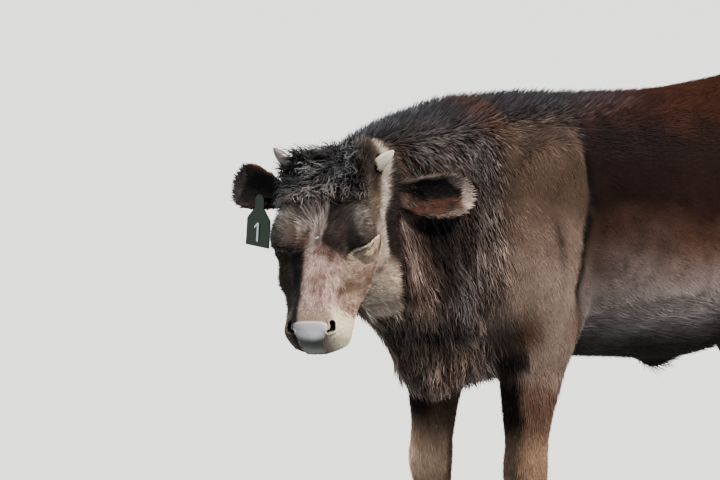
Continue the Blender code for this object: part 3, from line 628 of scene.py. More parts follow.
def coat_fields(skin):
    """Length, lift, width, wave and depth of the coat at every skin point."""
    part = parts_of(skin)
    y, z = skin.c[:, 1], skin.c[:, 2]
    rows = (
        # region, length, lift in degrees, width, wave
        ("body", 0.0175, 9, 0.0019, 0.0003),
        ("belly", 0.026, 18, 0.0024, 0.0010),
        ("top", 0.021, 17, 0.0020, 0.0004),
        ("long", 0.045, 15, 0.0020, 0.0026),
        ("nape", 0.022, 16, 0.0016, 0.0006),
        ("brisket", 0.042, 22, 0.0028, 0.0030),
        ("crest", 0.030, 50, 0.0020, 0.0010),
        ("legs", 0.016, 13, 0.0022, 0.0004),
        ("tail", 0.026, 12, 0.0024, 0.0010),
        ("switch", 0.085, 9, 0.0026, 0.0040),
        ("head", 0.0115, 14, 0.0016, 0.0004),
        ("forehead", 0.026, 22, 0.0020, 0.0020),
        ("jaw", 0.020, 20, 0.0020, 0.0008),
        ("muzzle", 0.0055, 16, 0.0013, 0.0),
        ("ruff", 0.036, 20, 0.0025, 0.0026),
        ("gorge_and_painted_shade", 0.016, 12, 0.0020, 0.0006),
        ("mop", 0.038, 40, 0.0024, 0.0),
        ("ears", 0.012, 14, 0.0018, 0.0006),
    )
    table = {name: np.full(len(z), value) for name, value in zip(FIELDS, (0.02, 15.0, 0.002, 0.0))}
    for region, *values in rows:
        weight = np.clip(part[region], 0, 1)
        for name, value in zip(FIELDS, values):
            table[name] = table[name] * (1 - weight) + value * weight
    from_sheath = np.linalg.norm(skin.c - SHEATH_TIP, axis=1)
    tuft = part["body"] * ramp(from_sheath, 0.050, 0.020)
    table["length"] += 0.012 * tuft
    table["lift"] += 8 * tuft
    table["length"] += 0.008 * (part["legs"] * ramp(z, 0.38, 0.55))
    table["length"] *= 1 - 0.35 * (part["legs"] * ramp(z, 0.110, 0.075))
    lids = np.zeros(len(z))
    for side in SIDES.values():
        from_eye = np.linalg.norm(skin.q - eye_frame(side)[0], axis=1)
        lids = np.maximum(lids, ramp(from_eye, 0.040, 0.026))
    table["length"] *= 1 - 0.50 * lids * part["head"]
    table["lift"] = np.radians(table["lift"])
    depth = table["length"] * np.sin(table["lift"]) * 0.85 + 0.008 * part["gorge_and_painted_shade"]
    fold = bump(y - blade_edge(z), 0.010, 0.012) * ramp(z, 0.60, 0.68)
    depth += 0.009 * fold * part["body"] * ramp(z, 0.99, 0.94)
    depth = depth * (1 - 0.7 * part["horns"]) * (1 - 0.85 * lids * part["head"]) * (1 - 0.6 * tuft)
    depth = depth * (1 - part["bare"]) * (0.15 + 0.85 * ramp(z, CORONET, CORONET + 0.03))
    table["depth"] = np.clip(depth, 0.0002, 0.024)
    table.update(part)
    return table


def flow_field(skin, part):
    """The lie of the coat, along the skin."""
    c, trunk = skin.c, skin.weights[:, TRUNK]
    x, y, z = c.T
    flow = layered(np.tile((0, 0.86, -0.50), (len(c), 1)), (
        ((0, 0.97, -0.12), part["top"] * 0.8),
        ((0, 0.95, 0.25), part["belly"]),
        ((0, 0.42, -0.90), trunk * ramp(y - blade_edge(z), 0.01, -0.02)),
        ((0, 0.30, -0.95), part["long"]),
        ((0, 0.20, -0.98), part["brisket"]),
        ((0, 0.45, -0.89), trunk * ramp(y, 0.36, 0.50)),
        (stacked(np.sign(x) * 0.10, 1.0, 0.35), part["crest"]),
        ((0, 0.10, -1.0), part["legs"]),
        ((0, 0.08, -1.0), part["tail"] + part["switch"]),
    ))
    flow = head_flow(skin, part, flow)
    turn = 0.22 * noise(c, 0.055, 21) + 0.10 * noise(c, 0.018, 22)
    turn += 1.5 * part["mop"] * noise(c, 0.024, 23)
    flow = unit(along_skin(flow, skin.normals))
    across = np.cross(skin.normals, flow)
    return flow * np.cos(turn)[:, None] + across * np.sin(turn)[:, None]


def along_skin(flow, normals):
    return flow - normals * dot(flow, normals)[:, None]


def head_flow(skin, part, flow):
    """From a whorl on the forehead, up to the poll and down to the nose, and back over the cheeks."""
    x, y, z = skin.q.T
    away = y - WHORL_Y
    face = stacked(2.2 * x / 0.05 * bump(away, 0, 0.08), np.tanh(away / 0.02), 0.0)
    cheek = stacked(0.1 * np.sign(x), 0.62, -0.78)
    back = stacked(0.2 * np.sign(x), 1.0, -0.2)
    forward = stacked(0.5 * x / 0.05, -0.9, -0.3)
    head = layered(unit(face), (
        (unit(cheek), ramp(np.abs(x), 0.040, 0.066) * ramp(z, -0.018, -0.050)),
        (unit(back), part["jaw"]),
        (unit(forward), part["mop"]),
    ))
    flow = blend(flow, out_of_head(head), np.maximum(part["head"], part["mop"]))
    for column, side in EAR_SIDES:
        flow = blend(flow, ear_directions(skin, side), skin.weights[:, column])
    return flow


def ear_directions(skin, side):
    """From the root of the ear to its tip, and outward to its rim."""
    along, across, _, root = EAR_FRAMES[side]
    outward = np.outer((skin.points - root) @ across / 0.05, across)
    return unit(along + 0.9 * outward)


def ear_frames(nodes):
    """Along, across and facing of each ear, from its own solid."""
    frames = {}
    for name, side in SIDES.items():
        points = points_of(nodes[f"ear_{name}"].data)
        middle = points.mean(0)
        axes = np.linalg.svd(points - middle, full_matrices=False)[2]
        along = axes[0] * np.sign(axes[0] @ (middle - HEAD_MIDDLE))
        forward = np.array((0.35, -1.0, 0.1))
        facing = axes[2] * np.sign(axes[2] @ forward)
        across = np.cross(facing, along)
        root = middle - along * (points @ along - middle @ along).max()
        frames[side] = (along, across, facing, root)
    return frames


# ---------------------------------------------------------------- markings

def blade_edge(z):
    """Where along the body the rear edge of the shoulder blade lies, at a height."""
    heights = (0.56, 0.66, 0.75, 0.823, 0.913, 0.966)
    return np.interp(z, heights, (-0.30, -0.320, -0.288, -0.261, -0.258, -0.238))


def flank_colour(z):
    """The colour of the side behind the shoulder: black-brown high up, greyer low down, and paler there with
    painted sheen.
    """
    stops = (
        (0.50, (0.034, 0.030, 0.026)),      # edge of the belly
        # the grey-brown of the low flank, painted paler from here up to 0.71 as painted sheen
        (0.545, (0.080, 0.066, 0.060)),
        (0.60, (0.230, 0.190, 0.178)),      # pale band along the low flank
        (0.66, (0.190, 0.150, 0.136)),
        (0.71, (0.105, 0.070, 0.058)),
        (0.755, (0.055, 0.029, 0.021)),
        (0.80, (0.021, 0.010, 0.008)),      # black-brown side
        (0.945, (0.015, 0.0080, 0.0065)),
        (0.985, (0.044, 0.018, 0.012)),     # back
    )
    heights, colours = zip(*stops)
    return stacked(*(np.interp(z, heights, channel) for channel in zip(*colours)))


def markings(skin, part):
    """The colour of hair and skin at every skin point, as linear red, green and blue."""
    c, ahead, rise = skin.c, skin.q[:, 1], skin.q[:, 2]
    x, y, z = c.T
    body, long, legs, ruff = (part[name] for name in ("body", "long", "legs", "ruff"))
    patch = noise(c, 0.15, 31) + 0.5 * noise(c, 0.06, 32)
    small = noise(c, 0.035, 35)
    fine = noise(c * (1.0, 1.0, 0.30), 0.010, 41)
    locks = noise(c * (1.0, 1.0, 0.16), 0.016, 37)
    edge = y - blade_edge(z)

    # The side behind the shoulder, and the shoulder blade, with painted shade in its groove and hollows and
    # painted sunlight low on the blade.
    behind = body * ramp(edge, 0.000, 0.020)
    light = 0.62 + 0.60 * ramp(y, -0.30, 0.02) * ramp(z, 0.80, 0.72) + 0.38 * ramp(z, 0.72, 0.80)
    flank = flank_colour(z + 0.030 * patch + 0.012 * small) * (0.95 + 0.22 * patch + 0.30 * fine)[:, None]
    flank = (flank * light[:, None]).clip(0, 1)
    rear = behind * ramp(y + 0.05 * patch, 0.06, 0.32)
    blade = body * (1 - long) * ramp(edge, 0.004, -0.004) * ramp(y, -0.62, -0.56)
    blade *= ramp(z, 0.985, 0.950)
    painted_elbow_shade = (x > 0) * body * bump(y, -0.433, 0.032) * bump(z, 0.590, 0.035)
    pale = blade * ramp(z + 0.02 * patch, 0.83, 0.66) * (1 - 0.9 * painted_elbow_shade)
    high = body * bump(y, -0.445, 0.030) * ramp(z, 0.78, 0.84) * ramp(z, 0.97, 0.95)
    hollow = bump(y, -0.360, 0.012) * bump(z, 0.755, 0.045)
    groove = bump(edge, 0.008, 0.011) * ramp(z, 0.62, 0.68) * ramp(z, 0.97, 0.93)
    under = body * ramp(z + 0.01 * patch, 0.550, 0.515) * ramp(y, -0.30, -0.26)
    trunk_layers = (
        (flank, behind),
        ((0.046, 0.023, 0.016), 0.88 * rear * ramp(z, 0.96, 0.88)),
        ((0.100, 0.066, 0.049), blade * (0.78 + 0.22 * patch + 0.20 * small).clip(0, 1)),
        # paler low on the shoulder blade: its grey-brown lightened with painted sunlight
        ((0.245, 0.182, 0.150), (0.74 + 0.22 * small + 0.20 * fine).clip(0, 1) * pale),
        ((0.110, 0.068, 0.050), 0.7 * body * bump(z, 0.600, 0.030) * bump(y, -0.31, 0.03)),
        # painted shade by the left elbow
        ((0.058, 0.032, 0.019), 0.85 * painted_elbow_shade),
        ((0.045, 0.029, 0.022), 0.75 * high),
        # painted shade in the hollow behind the arm
        (SOOT, 0.7 * blade * hollow),
        # painted shadow in the groove behind the shoulder blade
        (BLACK, 0.85 * groove * body),
        ((0.026, 0.021, 0.018), 0.8 * under),
    )

    # Neck, crest, brisket and throat, with painted shadow in the gorge, painted light on the jowl and
    # painted sheen in the neck's strands.
    border = behind_jaw(skin.q)
    near_jaw = ramp(border, 0.075, 0.045)
    strands_and_sheen = bump(z, 0.69, 0.12) * bump(y, -0.535, 0.10) * long
    rust = bump(y, -0.445, 0.030) * bump(z, 0.975, 0.025) * body
    throat = (long + ruff) * ramp(rise, -0.185, -0.205) * ramp(ahead, -0.135, -0.155)
    throat = (throat * ramp(border, 0.100, 0.060)).clip(0, 1)
    strip = ruff * bump(border, 0.029, 0.013) * ramp(rise, -0.085, -0.110) * ramp(rise, -0.222, -0.198)
    neck_layers = (
        ((0.020, 0.013, 0.011), ramp(long, 0.3, 1.0) * (0.88 + 0.25 * patch).clip(0, 1)),
        ((0.185, 0.130, 0.102), 0.75 * body * bump(y, -0.486, 0.024) * bump(z, 0.70, 0.09)),
        # pale grey streaks in the neck's long hair, partly painted sheen
        ((0.145, 0.122, 0.112), strands_and_sheen * (0.25 + 0.90 * locks).clip(0, 0.85)),
        ((0.080, 0.054, 0.045), long * 0.85 * near_jaw * ramp(z, 0.60, 0.66)),
        ((0.032, 0.024, 0.022), part["nape"] * (0.75 + 0.3 * small).clip(0, 1)),
        ((0.026, 0.024, 0.027), part["crest"] * 0.85),
        ((0.070, 0.026, 0.013), 0.9 * rust * (0.75 + 0.4 * small).clip(0, 1)),
        (BROWN, 0.6 * part["brisket"] * bump(z, 0.55, 0.035) * (y < -0.4)),
        (RUSSET, 0.7 * part["brisket"] * bump(z, 0.500, 0.020) * bump(y, -0.52, 0.03)),
        ((0.015, 0.011, 0.010), ruff * 0.95 * (1 - part["jowl"])),
        ((0.120, 0.083, 0.062), 0.8 * throat * ramp(z, 0.60, 0.63)),
        ((0.080, 0.052, 0.042), 0.9 * near_jaw * ruff * (1 - throat)),
        ((0.400, 0.295, 0.260), strip * (0.55 + 0.6 * locks).clip(0, 0.9)),
        # painted shadow in the groove between jaw and neck
        (BLACK, 0.95 * np.clip(part["gorge_and_painted_shade"], 0, 1)),
        # pale jowl, painted lighter where it turns down into shade: painted light
        ((0.560, 0.425, 0.325), part["jowl"] * (0.80 + 0.4 * small).clip(0, 0.95)),
    )

    # Legs, haunches and tail, with painted shade on the legs' forward faces and painted sunlight on the
    # right knee only.
    elbow = legs * ramp(z + 0.02 * small, 0.455, 0.530) * (y < 0)
    front = ramp(-skin.normals[:, 1] + 0.25 * small, 0.40, 0.75) * (y < 0) * ramp(z, 0.375, 0.42)
    shin = np.maximum(legs, body * ramp(z, 0.58, 0.53) * ramp(np.abs(x), 0.09, 0.12))
    painted_knee_light = legs * bump(z, 0.325, 0.045) * ramp(y, -0.385, -0.400) * (x < 0)
    haunch = body * ramp(y, 0.30, 0.46) * ramp(z, 0.92, 0.76)
    leg_layers = (
        ((0.120, 0.070, 0.050), legs * (0.92 + 0.15 * patch).clip(0, 1)),
        ((0.270, 0.200, 0.165), elbow),
        # near-black on the faces that turn forward: painted shade
        ((0.010, 0.008, 0.008), 0.92 * shin * front),
        ((0.230, 0.150, 0.100), legs * ramp(z, 0.43, 0.35) * ramp(z, 0.16, 0.26) * 0.9),
        # a pool of painted sunlight on the right knee
        ((0.800, 0.520, 0.350), 0.90 * painted_knee_light),
        ((0.030, 0.020, 0.016), legs * ramp(z, 0.20, 0.11)),
        ((0.060, 0.032, 0.023), haunch * (0.6 + 0.3 * patch).clip(0, 1)),
        (BLACK, 0.6 * (part["switch"] + part["tail"] * 0.3)),
    )
    colour = layered(np.tile(SOOT, (len(c), 1)), trunk_layers + neck_layers + leg_layers)
    colour = blend(colour, head_colour(skin, part), part["head"])
    return ear_markings(skin, colour)


def head_colour(skin, part):
    """Streaky forehead, pink-brown bridge, tan cheeks, dark temples and pale lips."""
    q = skin.q
    patch = noise(q, 0.035, 33) + 0.6 * noise(q, 0.014, 34)
    streak = noise(q * (1.0, 0.22, 1.0), 0.0045, 36)
    mottle = noise(q, 0.009, 39)
    layers = (
        *forehead_layers(q, patch, streak, mottle),
        *cheek_layers(q, patch, streak, mottle),
        *brow_layers(q, patch, streak),
        *muzzle_layers(skin, part, patch),
        *(layer for side in SIDES.values() for layer in lid_layers(q, side)),
    )
    return layered(np.tile((0.135, 0.104, 0.090), (len(q), 1)), layers)


def shaded_side(q):
    """Painted shade on the right side of the muzzle, which faces away from the key light."""
    return ramp(q[:, 0], -0.018, -0.027) * ramp(q[:, 1], -0.160, -0.195)


def painted_light_stripe_share(q):
    """The stripe of painted sunlight from the horn down to the cheek: its height over the eye, and its
    share.
    """
    x, y, z = np.abs(q[:, 0]), q[:, 1], q[:, 2]
    places = (-0.135, -0.112, -0.085, -0.061, -0.038, -0.010)
    height = np.interp(y, places, (-0.100, -0.074, -0.057, -0.052, -0.046, -0.036))
    return height, bump(z - height, 0.001, 0.0075) * ramp(y, -0.165, -0.130) * ramp(x, 0.050, 0.062)


def forehead_layers(q, patch, streak, mottle):
    """A streaky forehead with painted shade in a hollow on its left, the bridge of the nose, and painted
    shade on the right side of the muzzle.
    """
    side, y, z = q.T
    middle = 0.006 + 0.10 * (y + 0.165).clip(-0.03, 0.08)
    dark = ramp(side, middle - 0.001, middle + 0.003) * ramp(y, -0.215, -0.185) * ramp(z, -0.045, -0.020)
    bridge = ramp(y + 0.5 * np.abs(side - 0.004), -0.168, -0.192) * ramp(np.abs(side), 0.050, 0.038)
    return (
        ((0.400, 0.335, 0.302), (0.30 + 0.85 * streak).clip(0, 0.9) * ramp(side, -0.052, -0.035)),
        ((0.110, 0.058, 0.036), 0.8 * bump(side, -0.030, 0.016) * bump(y, -0.172, 0.020)),
        # painted shade in the hollow between the midline and the left brow
        ((0.028, 0.020, 0.017), 0.96 * dark),
        ((0.075, 0.060, 0.052), dark * (0.2 + 0.8 * streak).clip(0, 0.7) * ramp(side, 0.018, 0.035)),
        ((0.530, 0.368, 0.312), bridge * (0.80 + 0.18 * patch).clip(0, 1)),
        ((0.110, 0.062, 0.050), bridge * (0.26 + 0.6 * streak + 0.4 * mottle).clip(0, 0.8)),
        ((0.070, 0.034, 0.026), 0.75 * bridge * bump(y, -0.186, 0.012) * ramp(side, -0.012, -0.004)),
        ((0.075, 0.032, 0.020), 0.7 * bump(side, 0.024, 0.006) * bump(y, -0.196, 0.012)),
        # painted shade on the right side of the muzzle
        ((0.018, 0.015, 0.014), 0.90 * shaded_side(q)),
    )


def cheek_layers(q, patch, streak, mottle):
    """Tan cheeks, paler low down with painted light where they turn under the jaw, and three soft dark
    spots.
    """
    side, y, z = q.T
    x = np.abs(side)
    inward = np.maximum(ramp(x, 0.040, 0.050), ramp(z, -0.100, -0.130) * ramp(side, 0.010, 0.026))
    cheek = ramp(z, -0.012, -0.026) * inward * ramp(y, -0.100, -0.150)
    jowl = cheek * ramp(y, -0.200, -0.175) * ramp(z, -0.045, -0.062)
    low = cheek * ramp(z, -0.120, -0.165) * ramp(side, 0.015, 0.030)
    layers = [
        ((0.360, 0.255, 0.192), cheek * (0.88 + 0.12 * patch).clip(0, 1)),
        ((0.105, 0.064, 0.046), cheek * (0.20 + 0.9 * streak + 0.4 * patch).clip(0, 0.75)),
        ((0.420, 0.320, 0.250), (0.70 + 0.3 * mottle).clip(0, 1) * jowl),
        # paler low on the cheek, where it turns under the jaw: painted light
        ((0.640, 0.480, 0.365), (0.80 + 0.3 * mottle).clip(0, 0.95) * low),
        ((0.075, 0.045, 0.033), cheek * (1 - 0.7 * jowl) * ramp(mottle, 0.35, 0.8) * 0.55),
        ((0.340, 0.265, 0.215), cheek * bump(z, -0.020, 0.016) * bump(y, -0.215, 0.030) * 0.6),
        ((0.290, 0.175, 0.115), cheek * 0.6 * bump(y, -0.240, 0.028) * bump(z, -0.085, 0.025)),
    ]
    spots = (
        ((0.082, -0.198, -0.072), 0.021),
        ((0.062, -0.232, -0.040), 0.014),
        ((0.052, -0.250, -0.030), 0.008),
    )
    for place, reach in spots:
        gap = np.linalg.norm((stacked(x, y, z) - place) * (0.6, 1, 1), axis=1)
        layers.append(((0.060, 0.032, 0.021), 0.85 * bump(gap + 0.006 * patch, 0, reach)))
    return layers


def brow_layers(q, patch, streak):
    """Dark brow with a painted grey sheen, painted shade on the temple and in a crease, and a pale stripe of
    painted sunlight that comes down from the horn.
    """
    x, y, z = np.abs(q[:, 0]), q[:, 1], q[:, 2]
    height, stripe = painted_light_stripe_share(q)
    brow = bump(y, -0.128, 0.050) * ramp(x, 0.038, 0.050) * ramp(z, -0.045, -0.028)
    sheen = bump(y, -0.122, 0.032) * bump(x, 0.068, 0.014) * ramp(z, -0.042, -0.024)
    olive = ramp(y, -0.120, -0.095) * ramp(x, 0.056, 0.064) * bump(z - height, 0.024, 0.017)
    temple = ramp(y, -0.150, -0.125) * ramp(x, 0.060, 0.072) * ramp(z - height, -0.006, -0.013)
    crease = bump(z, -0.052, 0.0065) * bump(y, -0.144, 0.020) * ramp(x, 0.076, 0.084)
    return (
        ((0.070, 0.053, 0.043), 0.95 * brow),
        # painted sheen on the brow
        ((0.150, 0.132, 0.122), (0.80 + 0.3 * streak).clip(0, 1) * sheen),
        ((0.100, 0.074, 0.050), 0.9 * olive),
        # painted shade on the temple, between the stripe and the ear
        ((0.012, 0.009, 0.008), 0.95 * temple),
        # painted shade along a crease by the eye
        ((0.030, 0.020, 0.016), 0.9 * crease),
        # a stripe of painted sunlight down the edge of the head
        ((0.360, 0.300, 0.255), (0.80 + 0.25 * patch).clip(0, 1) * stripe),
    )


def muzzle_layers(skin, part, patch):
    """The fleck in the whorl, then jaw, lips and chin, painted shade on the far side, the chin and in the
    gorge, the poll's curls, and the bare nose with painted reflections.
    """
    q, t = skin.q, skin.t
    side, y, z = q.T
    x = np.abs(side)
    shade = shaded_side(q)
    fleck = np.hypot((side + 0.002) - 0.7 * (y - WHORL_Y), 0.6 * (y - WHORL_Y))
    far = ramp(side, -0.022, -0.030) * ramp(y, -0.165, -0.195) * ramp(z, -0.115, -0.075)
    lips = ramp(y, -0.276, -0.296) * ramp(x, 0.026, 0.040) * ramp(z, -0.016, -0.026)
    chin = ramp(mouth_height(q) - z, -0.001, 0.003) * ramp(y, -0.265, -0.285)
    under_horn = ramp(side, 0.020, 0.040) * ramp(y, -0.075, -0.050) * ramp(z, -0.036, -0.016)
    curls = (0.016, 0.015, 0.016) + 0.125 * ramp(patch, 0.1, 0.9)[:, None]
    # painted reflections on the wet nose pad: pale sky on its upper part, green-black grass on its lower
    # part, dimmed on the shaded right side
    high = ramp(z, -0.037, -0.026) * (1 - 0.35 * ramp(side, -0.010, -0.026))
    wet = np.outer(1 - high, (0.014, 0.018, 0.011)) + np.outer(high, (0.48, 0.45, 0.44))
    return (
        ((0.7, 0.68, 0.64), ramp(fleck, 0.0020, 0.0010)),
        ((0.040, 0.028, 0.022), 0.75 * part["jaw"] * ramp(t, 0.85, 0.6)),
        ((0.330, 0.250, 0.195), 0.9 * ramp(y + 0.006 * patch, -0.284, -0.306) * (1 - 0.9 * shade)),
        # painted shade on the lower right side of the face
        ((0.018, 0.015, 0.014), 0.85 * far),
        (CREAM, 0.95 * lips * (1 - 0.85 * shade)),
        # the chin's brown, darkened with painted shade
        ((0.110, 0.085, 0.065), 0.85 * chin),
        # painted shadow in the groove between jaw and neck
        (BLACK, 0.95 * np.clip(part["gorge_and_painted_shade"], 0, 1)),
        ((0.030, 0.021, 0.015), under_horn * (1 - painted_light_stripe_share(q)[1])),
        (curls, 0.97 * part["mop"]),
        (wet, ramp(pad_share(q) + 0.04 * patch, 1.10, 0.90)),
        ((0.010, 0.010, 0.011), ramp(nostril_distance(q), 1.15, 0.85)),
    )


def lid_layers(q, side):
    """Tan under the eye, a pale fold painted as a highlight with a line of painted shade over it, a tear
    mark and black lids; the right eye's tan and fold are dimmed as painted shade.
    """
    a, b, f, lid = eye_coordinates(q, side)
    front = (f > -0.008) * ramp(a, -0.034, -0.028) * ramp(a, 0.046, 0.036)
    # the right eye's tan and pale fold are painted dimmer: painted shade
    tone = 1.0 if side == 1 else 0.10
    over_line = b - lid_line(a)
    under = ramp(over_line, 0.0005, -0.0015) * ramp(b, -0.022, -0.014)
    hollow = bump(a, 0.006, 0.010) * bump(b, -0.013, 0.005)
    tear = bump(over_line, -0.0042, 0.0022) * bump(a, 0.026, 0.010)
    return (
        (tone * np.array((0.370, 0.280, 0.210)), 0.9 * front * under),
        ((0.095, 0.052, 0.035), 0.75 * front * hollow),
        # painted shade in the groove over the pale fold
        ((0.024, 0.018, 0.013), 0.85 * front * bump(over_line, 0.0038, 0.0030)),
        # the pale fold, a painted highlight
        ((0.1 + 0.9 * tone) * np.array((0.60, 0.51, 0.38)), 0.95 * front * bump(over_line, 0, 0.0018)),
        ((0.060, 0.045, 0.028), 0.8 * front * tear),
        ((0.008, 0.007, 0.007), front * ramp(lid, 1.10, 0.98)),
    )


def ear_markings(skin, colour):
    """Dark ears, painted black in the hollow as painted shade, with brown hairs in its lower half and a
    paler rim, partly painted light; the right ear is dimmed as painted shade, with painted sunlight on its
    top edge.
    """
    for column, side in EAR_SIDES:
        along, across, facing, root = EAR_FRAMES[side]
        out = (skin.points - root) @ along
        high = ((skin.points - root) @ across) * np.sign(across[2])
        inside = ramp(skin.normals @ facing, -0.1, 0.4)
        reach = np.hypot((out - 0.088) / 0.066, (high + 0.001) / 0.0320)
        reach += 0.12 * noise(skin.c, 0.012, 38)
        # painted light: full on the left ear, dimmed to a quarter on the right ear as painted shade
        ear_light = 1.0 if side == 1 else 0.25
        hairs = noise(skin.c * (0.3, 0.3, 1.0), 0.005, 40)
        lower = ear_light * inside * ramp(high, 0.004, -0.008)
        rim = ramp(reach, 0.92, 1.10) * ramp(out, 0.030, 0.075)
        ear = layered(np.tile((0.022, 0.016, 0.014), (len(out), 1)), (
            ((0.075, 0.037, 0.027), lower * (0.72 + 0.5 * hairs).clip(0, 0.95)),
            # painted shade, black, in the upper hollow and by the root
            ((0.012, 0.010, 0.010), inside * ramp(high, -0.008, 0.004)),
            (BLACK, 0.9 * inside * ramp(out, 0.060, 0.030)),
            # the paler rim and the pale tip two rows on, partly painted light
            ((0.130, 0.098, 0.083), 0.85 * rim * ear_light),
            # painted sunlight on the right ear's top edge
            ((0.110, 0.040, 0.022), 0.7 * (1 - ear_light) * ramp(high, 0.030, 0.036)),
            ((0.340, 0.270, 0.230), 0.75 * ear_light * ramp(out, 0.146, 0.156) * inside),
        ))
        colour = blend(colour, ear, skin.weights[:, column])
    return colour


# ---------------------------------------------------------------- tufts

def tufts_wanted(skin, table, chosen):
    """How many tufts cover each chosen triangle as thickly as the density asks."""
    corners = skin.points[skin.triangles]
    area = np.linalg.norm(np.cross(corners[:, 1] - corners[:, 0], corners[:, 2] - corners[:, 0]), axis=1) / 2
    footprint = table["length"] * table["width"] / np.maximum(table["density"], 1e-3)
    hairy = 1 - table["bare"][skin.triangles].max(axis=1)
    return area / footprint[skin.triangles].mean(axis=1) * (hairy > 0.5) * chosen


class Roots:
    """Places on the skin where tufts grow, with the skin's fields read off there."""

    def __init__(self, skin, wanted, count, rng):
        total = np.cumsum(wanted)
        picks = (np.arange(count) + rng.random(count)) / count * total[-1]
        face = np.minimum(np.searchsorted(total, picks), len(total) - 1)
        self.corners = skin.triangles[face]
        a, b = rng.random(count), rng.random(count)
        over = a + b > 1
        a, b = np.where(over, 1 - a, a), np.where(over, 1 - b, b)
        self.shares = stacked(1 - a - b, a, b)
        self.place = self.read(skin.points)
        self.normal = unit(self.read(skin.normals))
        self.count = count

    def read(self, values):
        if values.ndim == 1:
            return np.einsum("ij,ij->i", values[self.corners], self.shares)
        return np.einsum("ijk,ij->ik", values[self.corners], self.shares)


def centrelines(roots, fields, steps, curl, ragged, rng):
    """Points along every tuft, from just under the skin to its tip: (tuft, step, axis)."""
    count = roots.count
    length = fields["length"] * (1 + ragged * (2 * rng.random(count) - 1))
    lift = fields["lift"] * (0.7 + 0.6 * rng.random(count))
    normal, flow = roots.normal, fields["flow"]
    across = np.cross(normal, flow)
    sway = 0.16 * rng.standard_normal(count)
    flow = unit(flow + across * sway[:, None])
    across = np.cross(normal, flow)
    phase = 3.0 * noise(roots.place, 0.035, 41) + 0.5 * rng.random(count)
    line = np.empty((count, len(steps), 3))
    place = roots.place - normal * ROOT_DEPTH
    before = 0.0
    for k, s in enumerate(steps):
        middle = (s + before) / 2
        angle = lift * (1.15 - 0.55 * middle)
        stride = (s - before) * length
        place = place + flow * (np.cos(angle) * stride)[:, None] + normal * (np.sin(angle) * stride)[:, None]
        wave = fields["wave"] * np.sin(2 * math.pi * (s * length / WAVE_LENGTH) + phase) * s ** 0.7
        line[:, k] = place + across * wave[:, None]
        before = s
    if curl is not None:
        radius, turns = curl
        spin = rng.choice((-1.0, 1.0), count)
        for k, s in enumerate(steps):
            angle = spin * (2 * math.pi * turns * s) + phase * 2
            reach = radius * (0.6 + 0.8 * rng.random(count)) * min(1.0, 2.2 * s)
            line[:, k] += (
                across * (reach * np.cos(angle))[:, None] + normal * (reach * np.sin(angle) * 0.7)[:, None]
            )
    return line, across


def nearest_of(targets, places):
    """The number of the nearest target to each place."""
    tree = KDTree(len(targets))
    for number, target in enumerate(targets.tolist()):
        tree.insert(target, number)
    tree.balance()
    return np.array([tree.find(place)[1] for place in places.tolist()])


def clumped(line, roots, steps, share, every):
    """Tips drawn towards those of a few leaders, so that locks form."""
    leaders = np.arange(0, roots.count, every)
    nearest = nearest_of(roots.place[leaders], roots.place)
    leader = leaders[nearest]
    for k, s in enumerate(steps):
        pull = share * s ** 1.3
        gap = (line[leader, k] - roots.place[leader]) - (line[:, k] - roots.place)
        closer = roots.place[leader] - roots.place
        line[:, k] += (gap * 0.6 + closer * 0.75) * pull
    return nearest


def tuft_faces(rings):
    """A closed root, three-sided rings and a pointed tip."""
    around = ((0, 1), (1, 2), (2, 0))
    faces = [(2, 1, 0)]
    for low in range(0, 3 * (rings - 1), 3):
        high = low + 3
        for a, b in around:
            faces += [(low + a, low + b, high + b), (low + a, high + b, high + a)]
    last, tip = 3 * (rings - 1), 3 * rings
    return np.array(faces + [(last + a, last + b, tip) for a, b in around])


